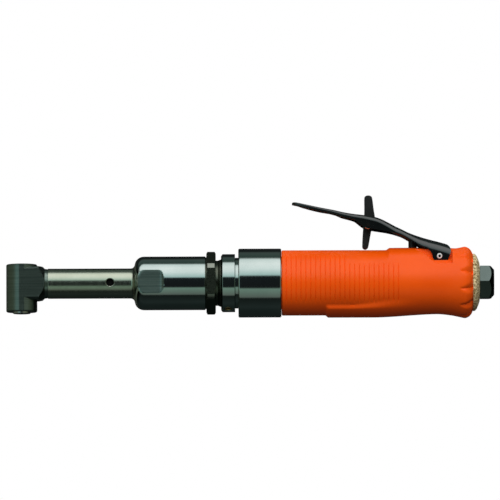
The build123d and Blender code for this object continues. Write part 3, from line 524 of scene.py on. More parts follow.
@dataclass
class FinishShop:
    """Builds each finish once and puts it on pieces."""

    made: dict = field(default_factory=dict)

    def material(self, name: str) -> bpy.types.Material:
        """The material of a finish, made when it is first asked for."""
        if name not in self.made:
            self.made[name] = FINISHES[name].build()
        return self.made[name]

    def dress(self, piece: bpy.types.Object, *names: str) -> bpy.types.Object:
        """Give a piece its finishes, one material slot each."""
        piece.data.materials.clear()
        for name in names:
            piece.data.materials.append(self.material(name))
        return piece

    def dress_frame(self) -> None:
        """Give every CAD node its own finish, or else that of its record slot."""
        for part in frame["record"]["subparts"]:
            name = part["node"]
            self.dress(frame["nodes"][name], NODE_LOOKS.get(name, part["material_slot"]))


# ---- Steel housings -------------------------------------------------------------------------------------
@dataclass
class ExtensionHousing:
    """Neck, flared shoulder, gear case with two wrench flats, and the hexagon behind it."""

    shop: FinishShop
    neck_start: float
    neck_r: float = 8.2
    flare: float = 61.2
    flare_fillet: float = 2.2
    shoulder_r: float = 5.0
    case_r: float = 14.6
    hex_start: float = 100.5
    hex_width: float = 5.1
    hex_half_flats: float = 15.5
    hex_corner_r: float = 17.1
    hex_chamfer: float = 1.0
    thread_end: float = 108.5
    thread_r: tuple = (12.3, 13.0)
    flat_half: float = 13.2
    flat_end: float = 74.9
    cutter_r: float = 2.93
    hole_x: float = 48.1
    hole_r: float = 2.1
    hole_depth: float = 2.6
    bore_r: float = 4.65

    def profile(self) -> np.ndarray:
        """Outside and bore of the housing, round its whole section."""
        hexagon_end = self.hex_start + self.hex_width
        outside = filleted(
            [
                (self.neck_start - 2.4, 6.4, 0),
                (self.neck_start, 6.4, 0),
                (self.neck_start, self.neck_r, 0.3),
                (self.flare, self.neck_r, self.flare_fillet),
                (self.flare + 1.0, self.case_r, self.shoulder_r),
                (self.hex_start - 0.5, self.case_r, 0.3),
                (self.hex_start - 0.5, self.case_r - 0.5, 0),
                (self.hex_start, self.case_r - 0.5, 0),
                (self.hex_start, self.hex_corner_r - self.hex_chamfer, 0.1),
                (self.hex_start + 0.6, self.hex_corner_r, 0.2),
                (hexagon_end - 0.6, self.hex_corner_r, 0.2),
                (hexagon_end, self.hex_corner_r - self.hex_chamfer, 0.1),
                (hexagon_end, self.thread_r[0], 0.1),
                (hexagon_end + 1.2, self.thread_r[0], 0.2),
                (self.thread_end, self.thread_r[1], 0),
                (self.thread_end + 0.2, 12.5, 0),
                (self.thread_end + 3.0, 12.5, 0),
                (self.thread_end + 3.0, self.bore_r, 0),
                (self.neck_start - 2.4, self.bore_r, 0),
            ]
        )
        rows = divided(outside, 1.5)
        hole = np.arange(self.hole_x - 2.7, self.hole_x + 2.7, 0.15)
        near_hole = np.stack([hole, np.full_like(hole, self.neck_r)], -1)
        runout = np.linspace(self.flat_end, self.flat_end + 2.6, 9)
        near_runout = np.stack([runout, np.full_like(runout, self.case_r)], -1)
        outer = (rows[:, 1] > self.neck_r - 0.01) & (rows[:, 0] > self.neck_start + 1)
        rows = self.with_rows(rows, near_hole, outer)
        return self.with_rows(rows, near_runout, rows[:, 1] > self.case_r - 0.01)

    @staticmethod
    def with_rows(rows: np.ndarray, extra: np.ndarray, outer: np.ndarray) -> np.ndarray:
        """Insert extra rows of one cylinder into the outer run of a profile, in order along X."""
        first = int(np.argmax(outer & (rows[:, 0] >= extra[0, 0])))
        last = first
        while rows[last, 0] <= extra[-1, 0]:
            last += 1
        return np.concatenate([rows[:first], extra, rows[last:]])

    def shape(self, x: np.ndarray, r: np.ndarray, a: np.ndarray) -> np.ndarray:
        """Radius after the flats, the hexagon and the neck's hole are cut.

        A flat at distance d cuts the radius to d / |sin(angle)|; beyond the flat's end d rises on
        the cutter's arc. The hexagon cuts it to its half width / cos(angle from the nearest flat).
        The hole is a step down to its floor inside a circle, with a small chamfer at its mouth.
        """
        radius = np.broadcast_to(r, np.broadcast_shapes(x.shape, a.shape)).copy()
        past = np.clip(x - self.flat_end, 0, self.cutter_r)
        distance = self.flat_half + self.cutter_r - np.sqrt(self.cutter_r**2 - past**2)
        on_case = (x > self.flare + 1.0) & (x < self.flat_end + self.cutter_r) & (r > self.bore_r + 1)
        flat = distance / np.maximum(np.abs(np.sin(a)), 0.2)
        radius = np.where(on_case, np.minimum(radius, flat), radius)
        on_hexagon = (x >= self.hex_start) & (x <= self.hex_start + self.hex_width)
        on_hexagon = on_hexagon & (r > self.thread_r[0] + 0.5)
        side = self.hex_half_flats / np.cos((a % (math.pi / 3)) - math.pi / 6)
        radius = np.where(on_hexagon, np.minimum(radius, side), radius)
        near = np.hypot(x - self.hole_x, (a - math.pi / 2) * self.neck_r)
        depth = self.hole_depth * (1 - smoothstep(near, self.hole_r - 0.08, self.hole_r + 0.08))
        depth = np.maximum(depth, 0.22 * (1 - smoothstep(near, self.hole_r, self.hole_r + 0.35)))
        on_neck = (np.abs(x - self.hole_x) < 3) & (r > self.neck_r - 0.1)
        return np.where(on_neck, radius - depth, radius)

    def finish_of_faces(self, mesh: bpy.types.Mesh) -> np.ndarray:
        """Number of the finish of each face.

        Args:
            mesh: The housing's mesh.

        Returns:
            0 polished case, 1 neck, 2 milled flats, 3 hexagon and thread, 4 neck's hole painted near-black as
            painted shade, 5 hexagon's corners with a painted highlight.
        """
        centres = np.empty(len(mesh.polygons) * 3)
        mesh.polygons.foreach_get("center", centres)
        x, y, z = centres.reshape(-1, 3).T / MM
        height = z - AXIS
        radius = np.hypot(y, height)
        finish = np.where(x < self.flare + 0.6, 1, 0)
        milled = (np.abs(y) < self.flat_half + 0.02) & (np.abs(y) > self.flat_half - 0.15)
        milled &= radius > np.abs(y) - 0.1
        milled = milled & (x > self.flare + 1) & (x < self.flat_end + 0.1)
        runout = (x >= self.flat_end) & (x < self.flat_end + self.cutter_r) & (radius < self.case_r - 0.05)
        finish = np.where((milled | runout) & (radius > self.thread_r[0]), 2, finish)
        dark = (x > self.hex_start - 0.6) & (x < self.thread_end)
        # Faces on the hexagon's rounded corners get the lighter painted highlight.
        corner = dark & (x > self.hex_start + 0.6) & (x < self.hex_start + self.hex_width - 0.6)
        corner = corner & (radius > self.hex_corner_r - 0.04)
        finish = np.where(corner, 5, np.where(dark, 3, finish))
        # Faces on the floor of the neck's hole get the near-black painted shade.
        in_hole = np.hypot(x - self.hole_x, height) < self.hole_r - 0.05
        return np.where(in_hole & (y < 0) & (radius < self.neck_r - 0.25), 4, finish).astype(np.int32)

    def build(self) -> None:
        """Make the housing in its different finishes."""
        edge = math.degrees(math.asin(self.flat_half / self.case_r))
        corner = math.degrees(math.acos(self.hex_half_flats / self.hex_corner_r)) - 30
        corners = [60 * k + s * (30 + corner) - 30 * s for k in range(4) for s in (-1, 1)]
        fine = np.concatenate([np.arange(72, 108.5, 1.1), [edge, 180 - edge], corners])
        columns = angle_columns(fine[(fine >= 0) & (fine <= 180)])
        piece = turned("extension_housing_shell", self.profile(), columns, self.shape)
        names = (
            "polished_steel", "neck_steel", "milled_steel", "hexagon_oxide", "painted_shade_black", "hexagon_corner_painted_highlight",
        )
        self.shop.dress(piece, *names)
        piece.data.polygons.foreach_set("material_index", self.finish_of_faces(piece.data))
        place(piece, HANDLE, "polished_steel", "extension_housing")


@dataclass
class RingAndCollar:
    """Spanner ring, the motor housing's bright rim and the big polished collar."""

    shop: FinishShop
    ring: Span
    housing: Span
    collar: Span
    ring_hole_r: float = 2.0
    ring_hole_angles: tuple = (158.0, -22.0)
    bushing_r: tuple = (1.0, 1.85)
    ring_bore_r: float = 12.65
    rim_r: float = 13.8
    collar_bore_r: float = 15.6
    collar_edge: float = 0.8

    def ring_shape(self, x: np.ndarray, r: np.ndarray, a: np.ndarray) -> np.ndarray:
        """Radius of the spanner ring: a blind round hole at each stated angle."""
        radius = np.broadcast_to(r, np.broadcast_shapes(x.shape, a.shape)).copy()
        middle = (self.ring.start + self.ring.end) / 2
        for angle in self.ring_hole_angles:
            off = (a - math.radians(angle) + math.pi) % (2 * math.pi) - math.pi
            near = np.hypot(x - middle, off * self.ring.radius)
            depth = 2.4 * (1 - smoothstep(near, self.ring_hole_r - 0.1, self.ring_hole_r + 0.1))
            radius = np.where(r > self.ring_bore_r + 1, radius - depth, radius)
        return radius

    def build(self) -> None:
        """Make the three pieces."""
        start, end, r = self.ring.start, self.ring.end, self.ring.radius
        section = [
            (start, self.ring_bore_r, 0),
            (start, r - 1.1, 0.2),
            (start + 0.8, r, 0.4),
            (end, r, 0.3),
            (end, self.ring_bore_r, 0),
        ]
        fine = np.concatenate([np.arange(abs(t) - 9, abs(t) + 9, 0.7) for t in self.ring_hole_angles])
        profile = divided(filleted(section), 0.25)
        piece = turned("lock_ring_turned", profile, angle_columns(fine), self.ring_shape)
        place(self.shop.dress(piece, "polished_steel"), HANDLE, "polished_steel", "lock_ring")
        angle = math.radians(self.ring_hole_angles[0])
        spoke = (0.0, -math.sin(angle), math.cos(angle))
        inner, outer = self.bushing_r
        low, high = r - 1.5, r - 0.2
        section = [(low, inner, 0), (low, outer, 0), (high, outer, 0.15), (high, inner, 0.3)]
        section.append(section[0])
        piece = turned_about("lock_ring_bushing", ((start + end) / 2, 0, AXIS), spoke, section)
        place(self.shop.dress(piece, "bronze"), HANDLE, "bronze")
        start, end = self.housing.start, self.housing.end
        section = [
            (start, 12.65, 0),
            (start, self.rim_r, 0.2),
            (self.collar.start, self.rim_r, 0),
            (self.collar.start, self.collar_bore_r - 0.1, 0),
            (self.collar.end - 1, self.collar_bore_r - 0.1, 0),
            (self.collar.end - 1, 14.3, 0),
            (end, 14.3, 0),
            (end, 12.65, 0),
        ]
        piece = turned("motor_housing_turned", filleted(section), angle_columns([]))
        place(self.shop.dress(piece, "polished_steel"), HANDLE, "polished_steel", "motor_housing")
        start, end, r = self.collar.start, self.collar.end, self.collar.radius
        section = [
            (start, self.collar_bore_r, 0),
            (start, r, self.collar_edge),
            (end, r, self.collar_edge),
            (end, self.collar_bore_r, 0),
        ]
        piece = turned("collar_turned", divided(filleted(section), 3.0), angle_columns([], 1.5))
        place(self.shop.dress(piece, "polished_steel"), HANDLE, "polished_steel", "front_collar")


# ---- Grip -----------------------------------------------------------------------------------------------
@dataclass
class Grip:
    """Moulded sleeve: grooved flanks, raised top and belly pads, flared rear, lever pockets."""

    shop: FinishShop
    span: Span
    hinge_x: float
    plunger_x: float
    lock_x: float
    barrel_r: float = 17.75
    bore_r: float = 14.4
    top_pad_r: float = 18.95
    belly_pad_r: float = 18.95
    waist_r: float = 17.25
    flare_r: float = 19.45
    end_r: float = 15.6
    groove_count: int = 24
    groove_pitch: float = 2.65
    groove_first: float = 2.6
    groove_half_width: float = 0.28
    groove_depth: float = 0.34
    scallop_count: int = 12
    scallop_length: float = 7.3
    scallop_depth: float = 2.1
    pocket_inner: float = 6.65
    pocket_floor: tuple = ((-16.5, 21.0), (-13.3, 17.5), (-8.5, 15.0), (-2.1, 9.3), (7.0, 9.3))
    slot_half_width: float = 2.7
    slot_span: tuple = (-4.6, 14.4)
    slot_floor: float = 15.45

    def at(self, offset: float) -> float:
        """Place along the tool at an offset from the grip's front end."""
        return self.span.start + offset

    def grooves(self) -> np.ndarray:
        """Places of the grooves' middles."""
        return self.at(self.groove_first) + self.groove_pitch * np.arange(self.groove_count)

    def rows(self) -> np.ndarray:
        """Places of the outer rows: fine at grooves, pockets, holes and the scalloped end."""
        across = np.array([-1.0, -0.6, -0.2, 0.2, 0.6, 1.0]) * self.groove_half_width
        end = self.span.end
        plain = steps((self.at(0.5), 1.0), (self.at(66), 0.5), (self.at(72), 0.4), (self.at(76.5), 0.9),
                      (self.at(82), 0.35), (end - 10.8, 0.7), (end - 7.3, 0.35), (end - 0.5, 0.35))
        walls = np.array([self.hinge_x + 6.99, self.hinge_x + 7.01])
        slot = self.lock_x + np.array(self.slot_span)
        lips = np.concatenate([slot - 0.02, slot + 0.02, self.plunger_x + np.arange(-3.0, 3.1, 0.25)])
        places = np.concatenate([plain, (self.grooves()[:, None] + across).ravel(), walls, lips])
        return np.unique(np.round(places, 3))

    def outer_radius(self, x: np.ndarray) -> np.ndarray:
        """Radius of the bare sleeve: a barrel, a waist and a flare, joined by smooth curves."""
        end = self.span.end
        knots = np.array([
            (self.at(-1), self.barrel_r), (self.at(60), self.barrel_r), (self.at(72), self.barrel_r - 0.1),
            (end - 19.5, self.waist_r), (end - 12, self.waist_r + 0.7), (end - 7.2, self.flare_r - 0.55),
            (end - 4.3, self.flare_r), (end - 2.2, self.flare_r - 0.8), (end - 0.9, self.flare_r - 2.2),
            (end, self.end_r),
        ])
        return pchip(knots[:, 0], knots[:, 1], x)

    def shape(self, x: np.ndarray, a: np.ndarray) -> np.ndarray:
        """Radius of the finished outside at a place and an angle from the top.

        The larger of the sleeve and its pads, less the grooves on the flanks and the V-shaped
        scallops of the flare; then cut by the lever pockets, the blade's slot and the plunger hole.
        A pocket leaves what lies under its floor or inside its wall: max(wall / |sin|, floor / cos).
        """
        end = self.span.end
        off = np.abs((a + math.pi) % (2 * math.pi) - math.pi)
        degrees = np.degrees(off)
        bare = self.outer_radius(x) + 0 * a
        in_x = smoothstep(x, self.at(56.7), self.at(58.9))
        crown = self.top_pad_r - 0.25 * smoothstep(x, self.at(72), end - 14) - bare
        fade = 1 - smoothstep(degrees, 34.0, 62.0)
        radius = bare + np.maximum(crown, 0) * in_x * fade * (1 - smoothstep(x, end - 12, end - 6))
        belly = smoothstep(x, self.at(23.6), self.at(25.4)) * (1 - smoothstep(x, self.at(50), self.at(78)))
        brink = 140.5 - 1.3 * (1 - smoothstep(x, self.at(40), self.at(60)))
        brow = brink - 1.5 - 16 * smoothstep(x, self.at(36), self.at(66))
        belly = belly * smoothstep(degrees, brow, 142.0)
        radius = radius + np.maximum(self.belly_pad_r - bare, 0) * belly
        nearest = np.min(np.abs(x - self.grooves()[None, :]), axis=1, keepdims=True)
        cut = np.clip(1 - (nearest / self.groove_half_width) ** 2, 0, 1)
        top_end = np.where(x < self.at(35), 38.0, 60.0)
        flank = smoothstep(degrees, top_end - 5, top_end + 4) * (1 - smoothstep(degrees, 124.0, 134.0))
        radius = radius - self.groove_depth * cut * flank
        radius = radius - 0.9 * smoothstep(-x, -self.at(0.45), -self.at(0.0)) * 0.5
        pitch = 2 * math.pi / self.scallop_count
        from_scallop = np.abs(a % pitch - pitch / 2)
        t = np.clip((x - (end - self.scallop_length)) / self.scallop_length, 0, 1)
        half = math.radians(1.0) + math.radians(10.0) * t
        radius = radius - self.scallop_depth * t**0.7 * np.clip(1 - from_scallop / half, 0, 1)
        radius = np.minimum(radius, self.pocket(x, off))
        y = radius * np.sin(off)
        slot = (x > self.lock_x + self.slot_span[0]) & (x < self.lock_x + self.slot_span[1])
        slot = slot & (y < self.slot_half_width) & (off < 1)
        radius = np.where(slot, np.minimum(radius, self.slot_floor / np.cos(np.minimum(off, 1))), radius)
        near = np.hypot(x - self.plunger_x, y)
        hole = (1 - smoothstep(near, 2.5, 2.75)) * (off < 1)
        return radius - hole * (radius - self.bore_r - 0.05)

    def pocket(self, x: np.ndarray, off: np.ndarray) -> np.ndarray:
        """Radius left by the lever pockets, very large where there is none."""
        outline = np.array(self.pocket_floor)
        floor = np.interp(x - self.hinge_x, outline[:, 0], outline[:, 1], left=90.0, right=90.0)
        wall = self.pocket_inner / np.maximum(np.sin(off), 0.05)
        under = np.where(off < math.pi / 2 - 0.05, floor / np.maximum(np.cos(off), 0.05), 90.0)
        return np.maximum(wall, under)

    def build(self) -> None:
        """Make the sleeve as a grid of rows along the tool and columns round it, with its bore."""
        slot_edge = math.degrees(math.asin(self.slot_half_width / self.barrel_r))
        fine = np.concatenate([
            np.arange(0.8, 8.2, 0.9), [slot_edge - 0.15, slot_edge + 0.15], np.arange(10, 19.5, 1.5),
            np.arange(20, 63.5, 0.75), np.arange(65, 180, 2.5),
        ])
        angles = angle_columns(fine, 5.0)
        x = self.rows()[:, None]
        outer = round_the_tool(x, self.shape(x, angles[None, :]), angles[None, :])
        bore_x = np.array([self.span.end, self.at(60), self.at(0)])[:, None]
        bore = round_the_tool(bore_x, np.full((3, 1), self.bore_r), angles[None, :])
        lip = round_the_tool(np.array([[self.span.end]]), np.array([[self.end_r - 0.3]]), angles[None, :])
        front = round_the_tool(np.array([[self.at(0)]]), np.array([[self.barrel_r - 0.5]]), angles[None, :])
        rows = np.concatenate([front, outer, lip, bore])
        piece = surface("grip_moulding", rows, close_rows=True, sharp=38.0)
        place(self.shop.dress(piece, "orange_composite"), HANDLE, "orange_composite", "grip")


def pchip(knots: np.ndarray, values: np.ndarray, at: np.ndarray) -> np.ndarray:
    """Smooth curve through knots that never overshoots them.

    A cubic Hermite curve whose slope at a knot is the harmonic mean of the slopes beside it, and
    zero where they differ in sign.
    """
    step = np.diff(knots)
    slope = np.diff(values) / step
    before, after = slope[:-1], slope[1:]
    inner = np.where(before * after > 0, 2 * before * after / (before + after + 1e-12), 0)
    tangent = np.concatenate([slope[:1], inner, slope[-1:]])
    i = np.clip(np.searchsorted(knots, at, side="right") - 1, 0, len(step) - 1)
    h = step[i]
    t = np.clip((at - knots[i]) / h, 0, 1)
    return (
        (2 * t**3 - 3 * t**2 + 1) * values[i]
        + (t**3 - 2 * t**2 + t) * h * tangent[i]
        + (3 * t**2 - 2 * t**3) * values[i + 1]
        + (t**3 - t**2) * h * tangent[i + 1]
    )


# ---- Lever and lock-off blade ---------------------------------------------------------------------------
@dataclass
class Lever:
    """Pressed lever: a channel open downwards with rounded shoulders, tapering to its tip.

    Curves are (along the tool, height) from the hinge; the half width and the shoulder's radius
    are given along the tool.
    """

    shop: FinishShop
    hinge_x: float
    hinge_z: float
    lock_x: float
    gauge: tuple = ((-80.2, 0.5), (-79.0, 0.9), (-60.0, 1.2), (-48.0, 1.7), (7.0, 1.7))
    top: tuple = ((-80.2, 29.6), (-79.6, 30.0), (-78.6, 29.95), (-74.0, 29.0), (-65.6, 27.1), (-57.2, 25.4),
                  (-52.2, 24.2), (-46.4, 23.2), (-41.1, 22.6), (-34.9, 21.5), (-32.1, 20.6), (-28.4, 18.8),
                  (-23.7, 16.3), (-21.4, 15.2), (-16.2, 12.7), (-7.8, 10.0), (1.1, 7.7), (3.6, 7.0), (7.0, 5.8))
    edge: tuple = ((-80.2, 29.0), (-79.0, 28.9), (-74.0, 27.4), (-65.6, 25.3), (-57.7, 23.9), (-53.1, 22.1),
                   (-46.4, 20.2), (-43.5, 18.0), (-41.6, 16.6), (-38.8, 15.3), (-36.5, 15.1), (-34.6, 14.8),
                   (-28.4, 13.8), (-21.4, 11.8), (-16.5, 9.2), (-13.0, 7.0), (-9.3, 4.9), (-6.1, 3.8),
                   (-4.2, 1.3), (-3.7, -0.8),
                   (-2.5, -2.8), (-0.1, -3.5), (4.1, -3.3), (7.0, -3.2))
    half_width: tuple = ((-80.2, 2.4), (-79.6, 3.3), (-78.4, 4.4), (-76.0, 5.2), (-60.0, 7.2), (-42.0, 8.9),
                         (-28.0, 8.9), (7.0, 8.6))
    shoulder: tuple = ((-80.2, 0.5), (-60.0, 1.2), (-46.0, 2.0), (-38.0, 2.6), (-25.0, 3.4), (-8.0, 5.6),
                       (7.0, 6.2))
    rear: tuple = ((-3.6, 3.7), (-3.2, 4.1), (-1.6, 4.8), (2.0, 6.1), (3.7, 6.2), (5.4, 5.5), (7.0, 3.8),
                   (8.0, 2.6))
    warp_start: float = -6.0
    slot_half_width: float = 2.5
    slot_front: float = 18.4
    slot_back: float = 4.4
    flank_columns: int = 12
    arc_columns: int = 10
    web_columns: int = 4
    middle_columns: int = 2
    rear_end: float = 6.2

    def curve(self, knots: tuple, at: np.ndarray) -> np.ndarray:
        """A smooth curve through a table of places and values."""
        table = np.array(knots)
        return pchip(table[:, 0], table[:, 1], at)

    def stations(self) -> np.ndarray:
        """Places of the sections, fine at the slot's ends and round the ear."""
        lock = self.lock_x - self.hinge_x
        front, back = lock - self.slot_front, lock + self.slot_back
        return steps((-80.2, 0.2), (-78.0, 0.7), (front - 0.1, 0.35), (front + 3, 0.8), (back - 3, 0.35),
                     (back + 0.1, 0.8), (-8.0, 0.35), (self.warp_start, 0.3), (self.rear_end, 0.3))

    def section(self, x: np.ndarray, inner: bool, columns: np.ndarray) -> tuple:
        """One side's outline of the channel, from its free edge up and over to the middle.

        Columns 0 to 1 run up the flank, 1 to 2 round the shoulder's quarter circle, 2 to 3 across
        the web to the slot's edge and 3 to 4 on to the middle. The inner skin lies a gauge inside.
        """
        gauge = self.curve(self.gauge, x)
        inset = gauge * inner
        width = self.curve(self.half_width, x) - inset
        outside = self.curve(self.top, x)
        edge = np.minimum(self.curve(self.edge, x), outside - 1.08 * gauge - 0.3)
        top = outside - 1.08 * inset
        radius = np.clip(self.curve(self.shoulder, x) - inset, 0.2, None)
        radius = np.minimum(radius, np.minimum(top - edge - 0.15, width - 0.5))
        turn = np.clip(columns - 1, 0, 1) * math.pi / 2
        y = width - radius * (1 - np.cos(turn))
        z = top - radius + radius * np.sin(turn)
        flank = np.clip(columns, 0, 1)
        z = np.where(columns < 1, edge + (top - radius - edge) * flank, z)
        lock = self.lock_x - self.hinge_x
        nose = np.minimum(x - (lock - self.slot_front), (lock + self.slot_back) - x)
        short = 1 - np.clip(nose / self.slot_half_width, 0, 1)
        rounded = self.slot_half_width * np.sqrt(np.clip(1 - short**2, 0.02, 1))
        open_half = np.where(nose > 0, rounded, self.slot_half_width)
        open_half = np.minimum(open_half, width - radius - 0.2)
        across = np.clip(columns - 2, 0, 1)
        y = np.where(columns > 2, (width - radius) + (open_half - (width - radius)) * across, y)
        inner = np.clip(columns - 3, 0, 1)
        y = np.where(columns > 3, open_half * (1 - inner), y)
        return y, z

    def columns(self) -> np.ndarray:
        """Columns of one side's section, from its free edge to the middle."""
        counts = (self.flank_columns, self.arc_columns, self.web_columns, self.middle_columns)
        spans = [np.linspace(k, k + 1, count + 1)[:-1] for k, count in enumerate(counts)]
        return np.concatenate([*spans, [len(counts)]])[None, :]

    def skin(self, stations: np.ndarray, columns: np.ndarray, inner: bool) -> np.ndarray:
        """One side of a skin, its rear sections drawn in to the rounded outline of the ears.

        Args:
            stations: Places of the sections, one to a row.
            columns: Columns of a section.
            inner: Whether this is the inner skin.

        Returns:
            Points by station and column, in millimetres from the hinge.
        """
        table = np.array(self.rear)
        warp = np.clip((stations - self.warp_start) / (self.rear_end - self.warp_start), 0, 1)
        x = stations + 0 * columns
        for _ in range(3):
            y, z = self.section(x, inner, columns)
            limit = np.interp(z, table[:, 0], table[:, 1])
            drawn = self.warp_start + warp * (limit - self.warp_start)
            x = np.where(stations > self.warp_start, drawn, x)
        return np.stack([x, y, z], -1)

    def slot_rows(self, stations: np.ndarray) -> np.ndarray:
        """Rows of faces that lie along the lock blade's slot."""
        lock = self.lock_x - self.hinge_x
        middles = (stations[:-1, 0] + stations[1:, 0]) / 2
        return np.flatnonzero((middles > lock - self.slot_front) & (middles < lock + self.slot_back))

    def bridges(self, side: int, count: int, row_count: int, rows: np.ndarray) -> np.ndarray:
        """Faces between the skins: the slot's walls and noses, then the two ends.

        Args:
            side: Columns of one side.
            count: Columns of the whole loop.
            row_count: Rows of the whole loop.
            rows: Rows of faces along the slot.

        Returns:
            Four point numbers to a face.
        """
        first, last = side - 1 - self.middle_columns, side - 1 + self.middle_columns
        opposite = 4 * side - 3

        def bridge(near: tuple, far: tuple, order: int) -> np.ndarray:
            """Faces from outer points, each a (row, column), to the inner skin's opposite points."""
            places = (near, far, (far[0], opposite - far[1]), (near[0], opposite - near[1]))
            return np.stack([row * count + column for row, column in places][::order], -1)

        walls = [bridge((rows, c), (rows + 1, c), order) for c, order in ((first, 1), (last, -1))]
        nose = np.arange(first, last)
        noses = [bridge((r, nose), (r, nose + 1), order) for r, order in ((rows[0], -1), (rows[-1] + 1, 1))]
        edge = np.arange(2 * side - 2)
        ends = [bridge((r, edge), (r, edge + 1), order) for r, order in ((0, -1), (row_count - 1, 1))]
        return np.concatenate(walls + noses + ends)

    def build(self) -> None:
        """Make the channel: outer and inner skins, the slot through its web and the rounded ears."""
        stations, columns = self.stations()[:, None], self.columns()
        outer, inner = (self.skin(stations, columns, is_inner) for is_inner in (False, True))
        mirror = np.array([1.0, -1.0, 1.0])
        loop = np.concatenate([outer, (outer * mirror)[:, -2::-1], inner * mirror, inner[:, -2::-1]], axis=1)
        loop = loop + np.array([self.hinge_x, 0, self.hinge_z])
        row_count, count = loop.shape[:2]
        side = columns.shape[1]
        quads = grid_faces(row_count, count, False, True)
        rows = self.slot_rows(stations)
        open_columns = np.arange(side - 1 - self.middle_columns, side - 1 + self.middle_columns)
        keep = np.ones(quads.shape[:2], bool)
        for skin_start in (0, 2 * side - 1):
            keep[np.ix_(rows, skin_start + open_columns)] = False
        points = loop.reshape(-1, 3) * MM
        flip = signed_volume(points, quads.reshape(-1, 4)) < 0
        faces = np.concatenate([quads[keep], self.bridges(side, count, row_count, rows)[:, ::-1]])
        piece = make_mesh("throttle_lever_pressing", points, [faces[:, ::-1] if flip else faces], 40.0)
        place(self.shop.dress(piece, "black_lever"), "lever", "black_lever", "throttle_lever")


@dataclass
class LockBlade:
    """Lock-off blade: a thumb tab above the lever, a hub on its pin and a foot over the grip."""

    shop: FinishShop
    pin_x: float
    pin_z: float
    half_thickness: float = 2.2
    edge: float = 0.5
    outline: tuple = ((-2.0, 14.6), (-1.6, 15.9), (-0.6, 16.5), (0.9, 16.5), (1.9, 15.9), (2.4, 14.6),
                      (3.1, 9.0), (3.7, 5.0), (3.5, 2.6), (2.7, 0.6), (2.0, -1.6), (1.2, -5.5), (0.2, -10.9), (-0.4, -12.3),
                      (-1.7, -12.9), (-2.9, -12.2), (-3.2, -10.9), (-3.0, -6.0), (-2.7, -1.6),
                      (-2.2, 3.0), (-2.0, 9.0))

    def build(self) -> None:
        """Make the blade: the outline smoothed and drawn out sideways, drawn in at its rims.

        Each side's rim is a quarter circle: at turn t the outline lies edge (1 - cos t) inside and
        half thickness - edge (1 - sin t) out.
        """
        knots = np.array(self.outline)
        closed = np.vstack([knots[-1:], knots, knots[:2]])
        t = np.linspace(0, 1, 6)[:-1, None]
        spans = []
        for p0, p1, p2, p3 in zip(closed[:-3], closed[1:-2], closed[2:-1], closed[3:]):
            spans.append(0.5 * (2 * p1 + (p2 - p0) * t + (2 * p0 - 5 * p1 + 4 * p2 - p3) * t**2
                                + (3 * p1 - p0 - 3 * p2 + p3) * t**3))
        path = np.concatenate(spans)
        tangent = np.roll(path, -1, 0) - np.roll(path, 1, 0)
        normal = np.stack([tangent[:, 1], -tangent[:, 0]], -1)
        normal /= np.linalg.norm(normal, axis=1, keepdims=True)
        outward = np.sign(np.sum(normal * (path - path.mean(0))))
        turns = np.linspace(0, math.pi / 2, 5)
        edge, half = self.edge, self.half_thickness
        rows = [(edge * (1 - math.sin(a)), half - edge * (1 - math.cos(a))) for a in turns]
        rows = [(inset, -y) for inset, y in rows] + [(inset, y) for inset, y in rows[::-1]]
        grid = [
            np.column_stack([self.pin_x + p[:, 0], np.full(len(p), y), self.pin_z + p[:, 1]])
            for inset, y in rows
            for p in [path - outward * inset * normal]
        ]
        piece = surface("lock_blade_moulding", np.array(grid), sharp=60.0)
        place(self.shop.dress(piece, "black_tab"), "lock", "black_tab", "lock_blade")


@dataclass
class HingePin:
    """Roll pin through the lever's ears."""

    shop: FinishShop
    x: float
    z: float
    r: float = 1.5
    bore_r: float = 0.75
    half_length: float = 8.95

    def build(self) -> None:
        """Make the pin as a tube with rounded ends."""
        h, r, b = self.half_length, self.r, self.bore_r
        section = [(-h, b, 0), (-h, r, 0.35), (h, r, 0.35), (h, b, 0.15), (-h, b, 0)]
        piece = turned_about("hinge_roll_pin", (self.x, 0, self.z), (0, 1, 0), section)
        place(self.shop.dress(piece, "pin_steel"), HANDLE, "bright_steel", "hinge_pin")


# ---- Muffler and inlet ----------------------------------------------------------------------------------
@dataclass
class RearEnd:
    """Granular exhaust muffler; the air inlet behind it keeps its CAD mesh."""

    shop: FinishShop
    muffler: Span
    grain_height: float = 0.12

    def muffler_shape(self, x: np.ndarray, r: np.ndarray, a: np.ndarray) -> np.ndarray:
        """Radius of the muffler with its coarse granules as small seeded bumps."""
        rng = np.random.default_rng(7)
        rough = rng.uniform(-1, 1, np.broadcast_shapes(x.shape, a.shape)) * self.grain_height
        return np.where(r > 9.5, r + rough, r + 0 * a)

    def build(self) -> None:
        """Make the muffler."""
        start, end = self.muffler.start, self.muffler.end
        r = self.muffler.radius
        section = [
            (start, 8.15, 0),
            (start, r - 0.15, 0.3),
            (start + 1.1, r - 0.5, 1.0),
            (start + 2.0, r - 1.4, 1.0),
            (start + 3.0, r - 3.7, 1.5),
            (start + 3.6, r - 5.6, 1.5),
            (end - 0.05, 8.15, 0),
            (start, 8.15, 0),
        ]
        piece = turned(
            "muffler_sintered", divided(filleted(section), 0.3), angle_columns([], 1.5),
            self.muffler_shape, 60.0,
        )
        place(self.shop.dress(piece, "sintered_bronze"), HANDLE, "sintered_bronze", "muffler")


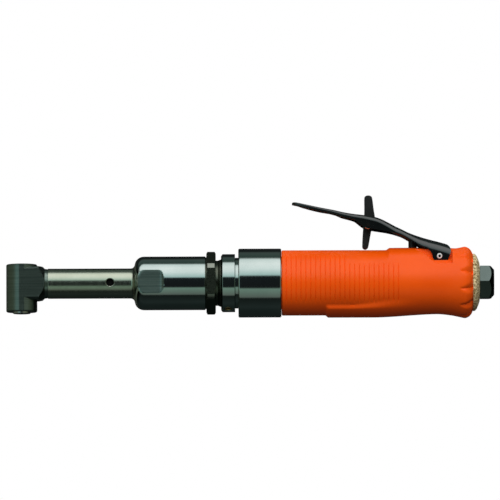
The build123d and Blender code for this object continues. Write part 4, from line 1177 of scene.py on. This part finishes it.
# ---- Studio -----------------------------------------------------------------------------------------------
@dataclass
class Studio:
    """Camera, lamps, the pale floor and the reflected surroundings."""

    aim_x: float = 124.3
    aim_above_axis: float = 18.1
    distance: float = 8000.0
    lens: float = 1058.0
    elevation: float = -5.0
    roll: float = -0.19
    floor_z: float = -800.0
    ambient_level: float = 0.2
    ambient_slope: float = 0.28
    ambient_least: float = 0.1
    fade_start: float = 0.55
    fade_end: float = 0.85
    key_angle: float = 29.0
    back_angle: float = 128.0
    lamp_distance: float = 1.2
    lamp_length: float = 1.6
    level_limit: float = 0.35
    boxes_round_tool: tuple = (
        (-180, 0.012, 0.014, 0.014), (-110, 0.016, 0.024, 0.022), (-92, 0.026, 0.036, 0.034),
        (-57, 0.013, 0.018, 0.016), (-53, 0.17, 0.2, 0.175), (-25, 0.26, 0.38, 0.31),
        (-20, 0.014, 0.016, 0.017), (18, 0.014, 0.018, 0.02), (23, 0.7, 0.92, 0.9), (45, 1.28, 1.34, 1.33), (64, 1.42, 1.43, 1.42),
        (82, 1.15, 1.22, 1.2), (88, 0.3, 0.34, 0.33), (91, 0.05, 0.082, 0.07), (112, 0.08, 0.11, 0.1),
        (122, 0.06, 0.075, 0.07), (128, 0.012, 0.016, 0.016), (180, 0.03, 0.03, 0.03),
    )
    boxes_beside: tuple = (
        (-180, 0.0, 0.0, 0.0), (-140, 0.05, 0.055, 0.04), (-110, 0.13, 0.15, 0.11), (-52, 0.14, 0.17, 0.12),
        (-47, 0.2, 0.34, 0.33), (-22, 0.22, 0.36, 0.35), (-15, 0.02, 0.03, 0.03), (-6, 0.0, 0.0, 0.0),
        (10, 0.0, 0.0, 0.0), (20, 0.15, 0.17, 0.12), (80, 0.12, 0.14, 0.09), (90, 0.0, 0.0, 0.0),
        (180, 0.0, 0.0, 0.0),
    )

    def camera(self) -> None:
        """Camera level with the tool, a little below it, looking along +Y."""
        data = bpy.data.cameras.new("camera")
        data.lens = self.lens
        data.sensor_width = 36.0
        data.clip_end = 50.0
        camera = bpy.data.objects.new("camera", data)
        bpy.context.scene.collection.objects.link(camera)
        tilt = math.radians(self.elevation)
        aim = Vector((self.aim_x, 0, AXIS + self.aim_above_axis)) * MM
        back = Vector((0, -math.cos(tilt), math.sin(tilt)))
        turn = Matrix.Rotation(math.pi / 2 - tilt, 4, "X") @ Matrix.Rotation(math.radians(self.roll), 4, "Z")
        camera.matrix_world = Matrix.Translation(aim + back * self.distance * MM) @ turn
        bpy.context.scene.camera = camera

    def lamp(self, name: str, angle: float, distance: float, length: float, width: float, power: float) -> None:
        """A long soft lamp beside the tool, turned towards it.

        Args:
            name: Name of the lamp.
            angle: Degrees above the horizon, counted from -Y over the top.
            distance: Metres from the tool's axis.
            length: Size along the tool in metres.
            width: Size across in metres.
            power: Watts.
        """
        data = bpy.data.lights.new(name, "AREA")
        data.shape = "RECTANGLE"
        data.size, data.size_y, data.energy = length, width, power
        lamp = bpy.data.objects.new(name, data)
        bpy.context.scene.collection.objects.link(lamp)
        a = math.radians(angle)
        back = Vector((0, -math.cos(a), math.sin(a)))
        lamp.location = Vector((self.aim_x, 0, AXIS)) * MM + back * distance
        lamp.rotation_euler = (math.pi / 2 - a, 0, 0)
        lamp.visible_glossy = False

    def floor(self) -> None:
        """Wide pale floor well below the tool."""
        half = 6.0
        z = self.floor_z * MM
        points = np.array([(-half, -half, z), (half, -half, z), (half, half, z), (-half, half, z)])
        floor = make_mesh("floor", points, [np.array([[0, 1, 2, 3]])])
        shader = Shader("floor")
        shader.set(Base_Color=(0.86, 0.86, 0.86, 1), Roughness=0.8, Specular_IOR_Level=0.1)
        floor.data.materials.append(shader.material)
        floor.visible_glossy = False
        floor.visible_diffuse = False

    def surroundings(self) -> None:
        """White to the camera, soft from above to diffuse light, soft boxes to reflections.

        Reflections see a dark room whose boxes run along the tool: their brightness depends on the
        angle round the tool's axis, from -Y upwards, and fades where the view runs along the tool.
        Nearly level directions also see upright boxes at either side, by their heading from -Y
        towards +X.
        """
        world = bpy.data.worlds.new("surroundings")
        world.use_nodes = True
        bpy.context.scene.world = world
        nodes, links = world.node_tree.nodes, world.node_tree.links

        def math_node(operation: str, *inputs) -> bpy.types.NodeSocket:
            """A math node fed by sockets or plain numbers."""
            node = nodes.new("ShaderNodeMath")
            node.operation = operation
            for socket, value in zip(node.inputs, inputs):
                if isinstance(value, (int, float)):
                    socket.default_value = value
                else:
                    links.new(value, socket)
            return node.outputs[0]

        def bands(angle: bpy.types.NodeSocket, stops: tuple) -> bpy.types.NodeSocket:
            """Colour by angle; each stop is degrees and a colour."""
            node = nodes.new("ShaderNodeValToRGB")
            elements = node.color_ramp.elements
            while len(elements) < len(stops):
                elements.new(0.5)
            for element, stop in zip(elements, stops):
                element.position = (stop[0] + 180) / 360
            for element, stop in zip(elements, stops):
                element.color = (*stop[1:], 1)
            links.new(math_node("MULTIPLY_ADD", angle, 0.5 / math.pi, 0.5), node.inputs["Fac"])
            return node.outputs["Color"]

        def mixed(blend: str, factor, first, second) -> bpy.types.NodeSocket:
            """A colour mix of two sockets or colours."""
            node = nodes.new("ShaderNodeMix")
            node.data_type = "RGBA"
            node.blend_type = blend
            for place_in, value in ((0, factor), (6, first), (7, second)):
                socket = node.inputs[place_in]
                if isinstance(value, bpy.types.NodeSocket):
                    links.new(value, socket)
                else:
                    socket.default_value = value
            return node.outputs[2]

        split = nodes.new("ShaderNodeSeparateXYZ")
        links.new(nodes.new("ShaderNodeTexCoord").outputs["Generated"], split.inputs[0])
        x, y, z = split.outputs
        forward = math_node("MULTIPLY", y, -1.0)
        round_tool = bands(math_node("ARCTAN2", z, forward), self.boxes_round_tool)
        beside = bands(math_node("ARCTAN2", x, forward), self.boxes_beside)
        past = math_node("SUBTRACT", self.fade_end, math_node("ABSOLUTE", x))
        kept = math_node("DIVIDE", past, self.fade_end - self.fade_start)
        kept = math_node("MINIMUM", math_node("MAXIMUM", kept, 0.0), 1.0)
        round_tool = mixed("MULTIPLY", 1.0, round_tool, kept)
        level = math_node("LESS_THAN", math_node("ABSOLUTE", z), self.level_limit)
        reflected = mixed("ADD", level, round_tool, beside)
        above = math_node("MULTIPLY_ADD", z, self.ambient_slope, self.ambient_level)
        ambient = math_node("MAXIMUM", above, self.ambient_least)
        path = nodes.new("ShaderNodeLightPath")
        lit = mixed("MIX", path.outputs["Is Diffuse Ray"], reflected, ambient)
        seen = mixed("MIX", path.outputs["Is Camera Ray"], lit, (1, 1, 1, 1))
        links.new(seen, nodes["Background"].inputs["Color"])

    def build(self) -> None:
        """Set up the whole studio."""
        scene = bpy.context.scene
        scene.view_settings.view_transform = "Standard"
        self.camera()
        self.floor()
        self.surroundings()
        self.lamp("key", self.key_angle, self.lamp_distance, self.lamp_length, 0.9, 13.0)
        self.lamp("back", self.back_angle, self.lamp_distance, self.lamp_length, 0.7, 6.0)


# ---- Whole tool -------------------------------------------------------------------------------------------
def joint_place(name: str) -> tuple:
    """Place of a joint's axis: along the tool, and its height, in millimetres."""
    joint = next(j for j in frame["record"]["behaviour"]["joints"] if j["name"] == name)
    return joint["pos_m"][0] / MM, joint["pos_m"][2] / MM


def main() -> None:
    """Build the studio and every sub-assembly."""
    logging.basicConfig(level=logging.INFO, format="%(name)s: %(message)s")
    Studio().build()
    shop = FinishShop()
    shop.dress_frame()
    hinge_x, hinge_z = joint_place("lever_hinge")
    lock_x, lock_z = joint_place("lock_fold")
    plunger = Span.of("throttle_plunger")
    ExtensionHousing(shop, Span.of("angle_head").end).build()
    RingAndCollar(shop, Span.of("lock_ring"), Span.of("motor_housing"), Span.of("front_collar")).build()
    Grip(shop, Span.of("grip"), hinge_x, (plunger.start + plunger.end) / 2, lock_x).build()
    Lever(shop, hinge_x, hinge_z, lock_x).build()
    LockBlade(shop, lock_x, lock_z).build()
    HingePin(shop, hinge_x, hinge_z).build()
    RearEnd(shop, Span.of("muffler")).build()


if __name__ == "__main__":
    main()
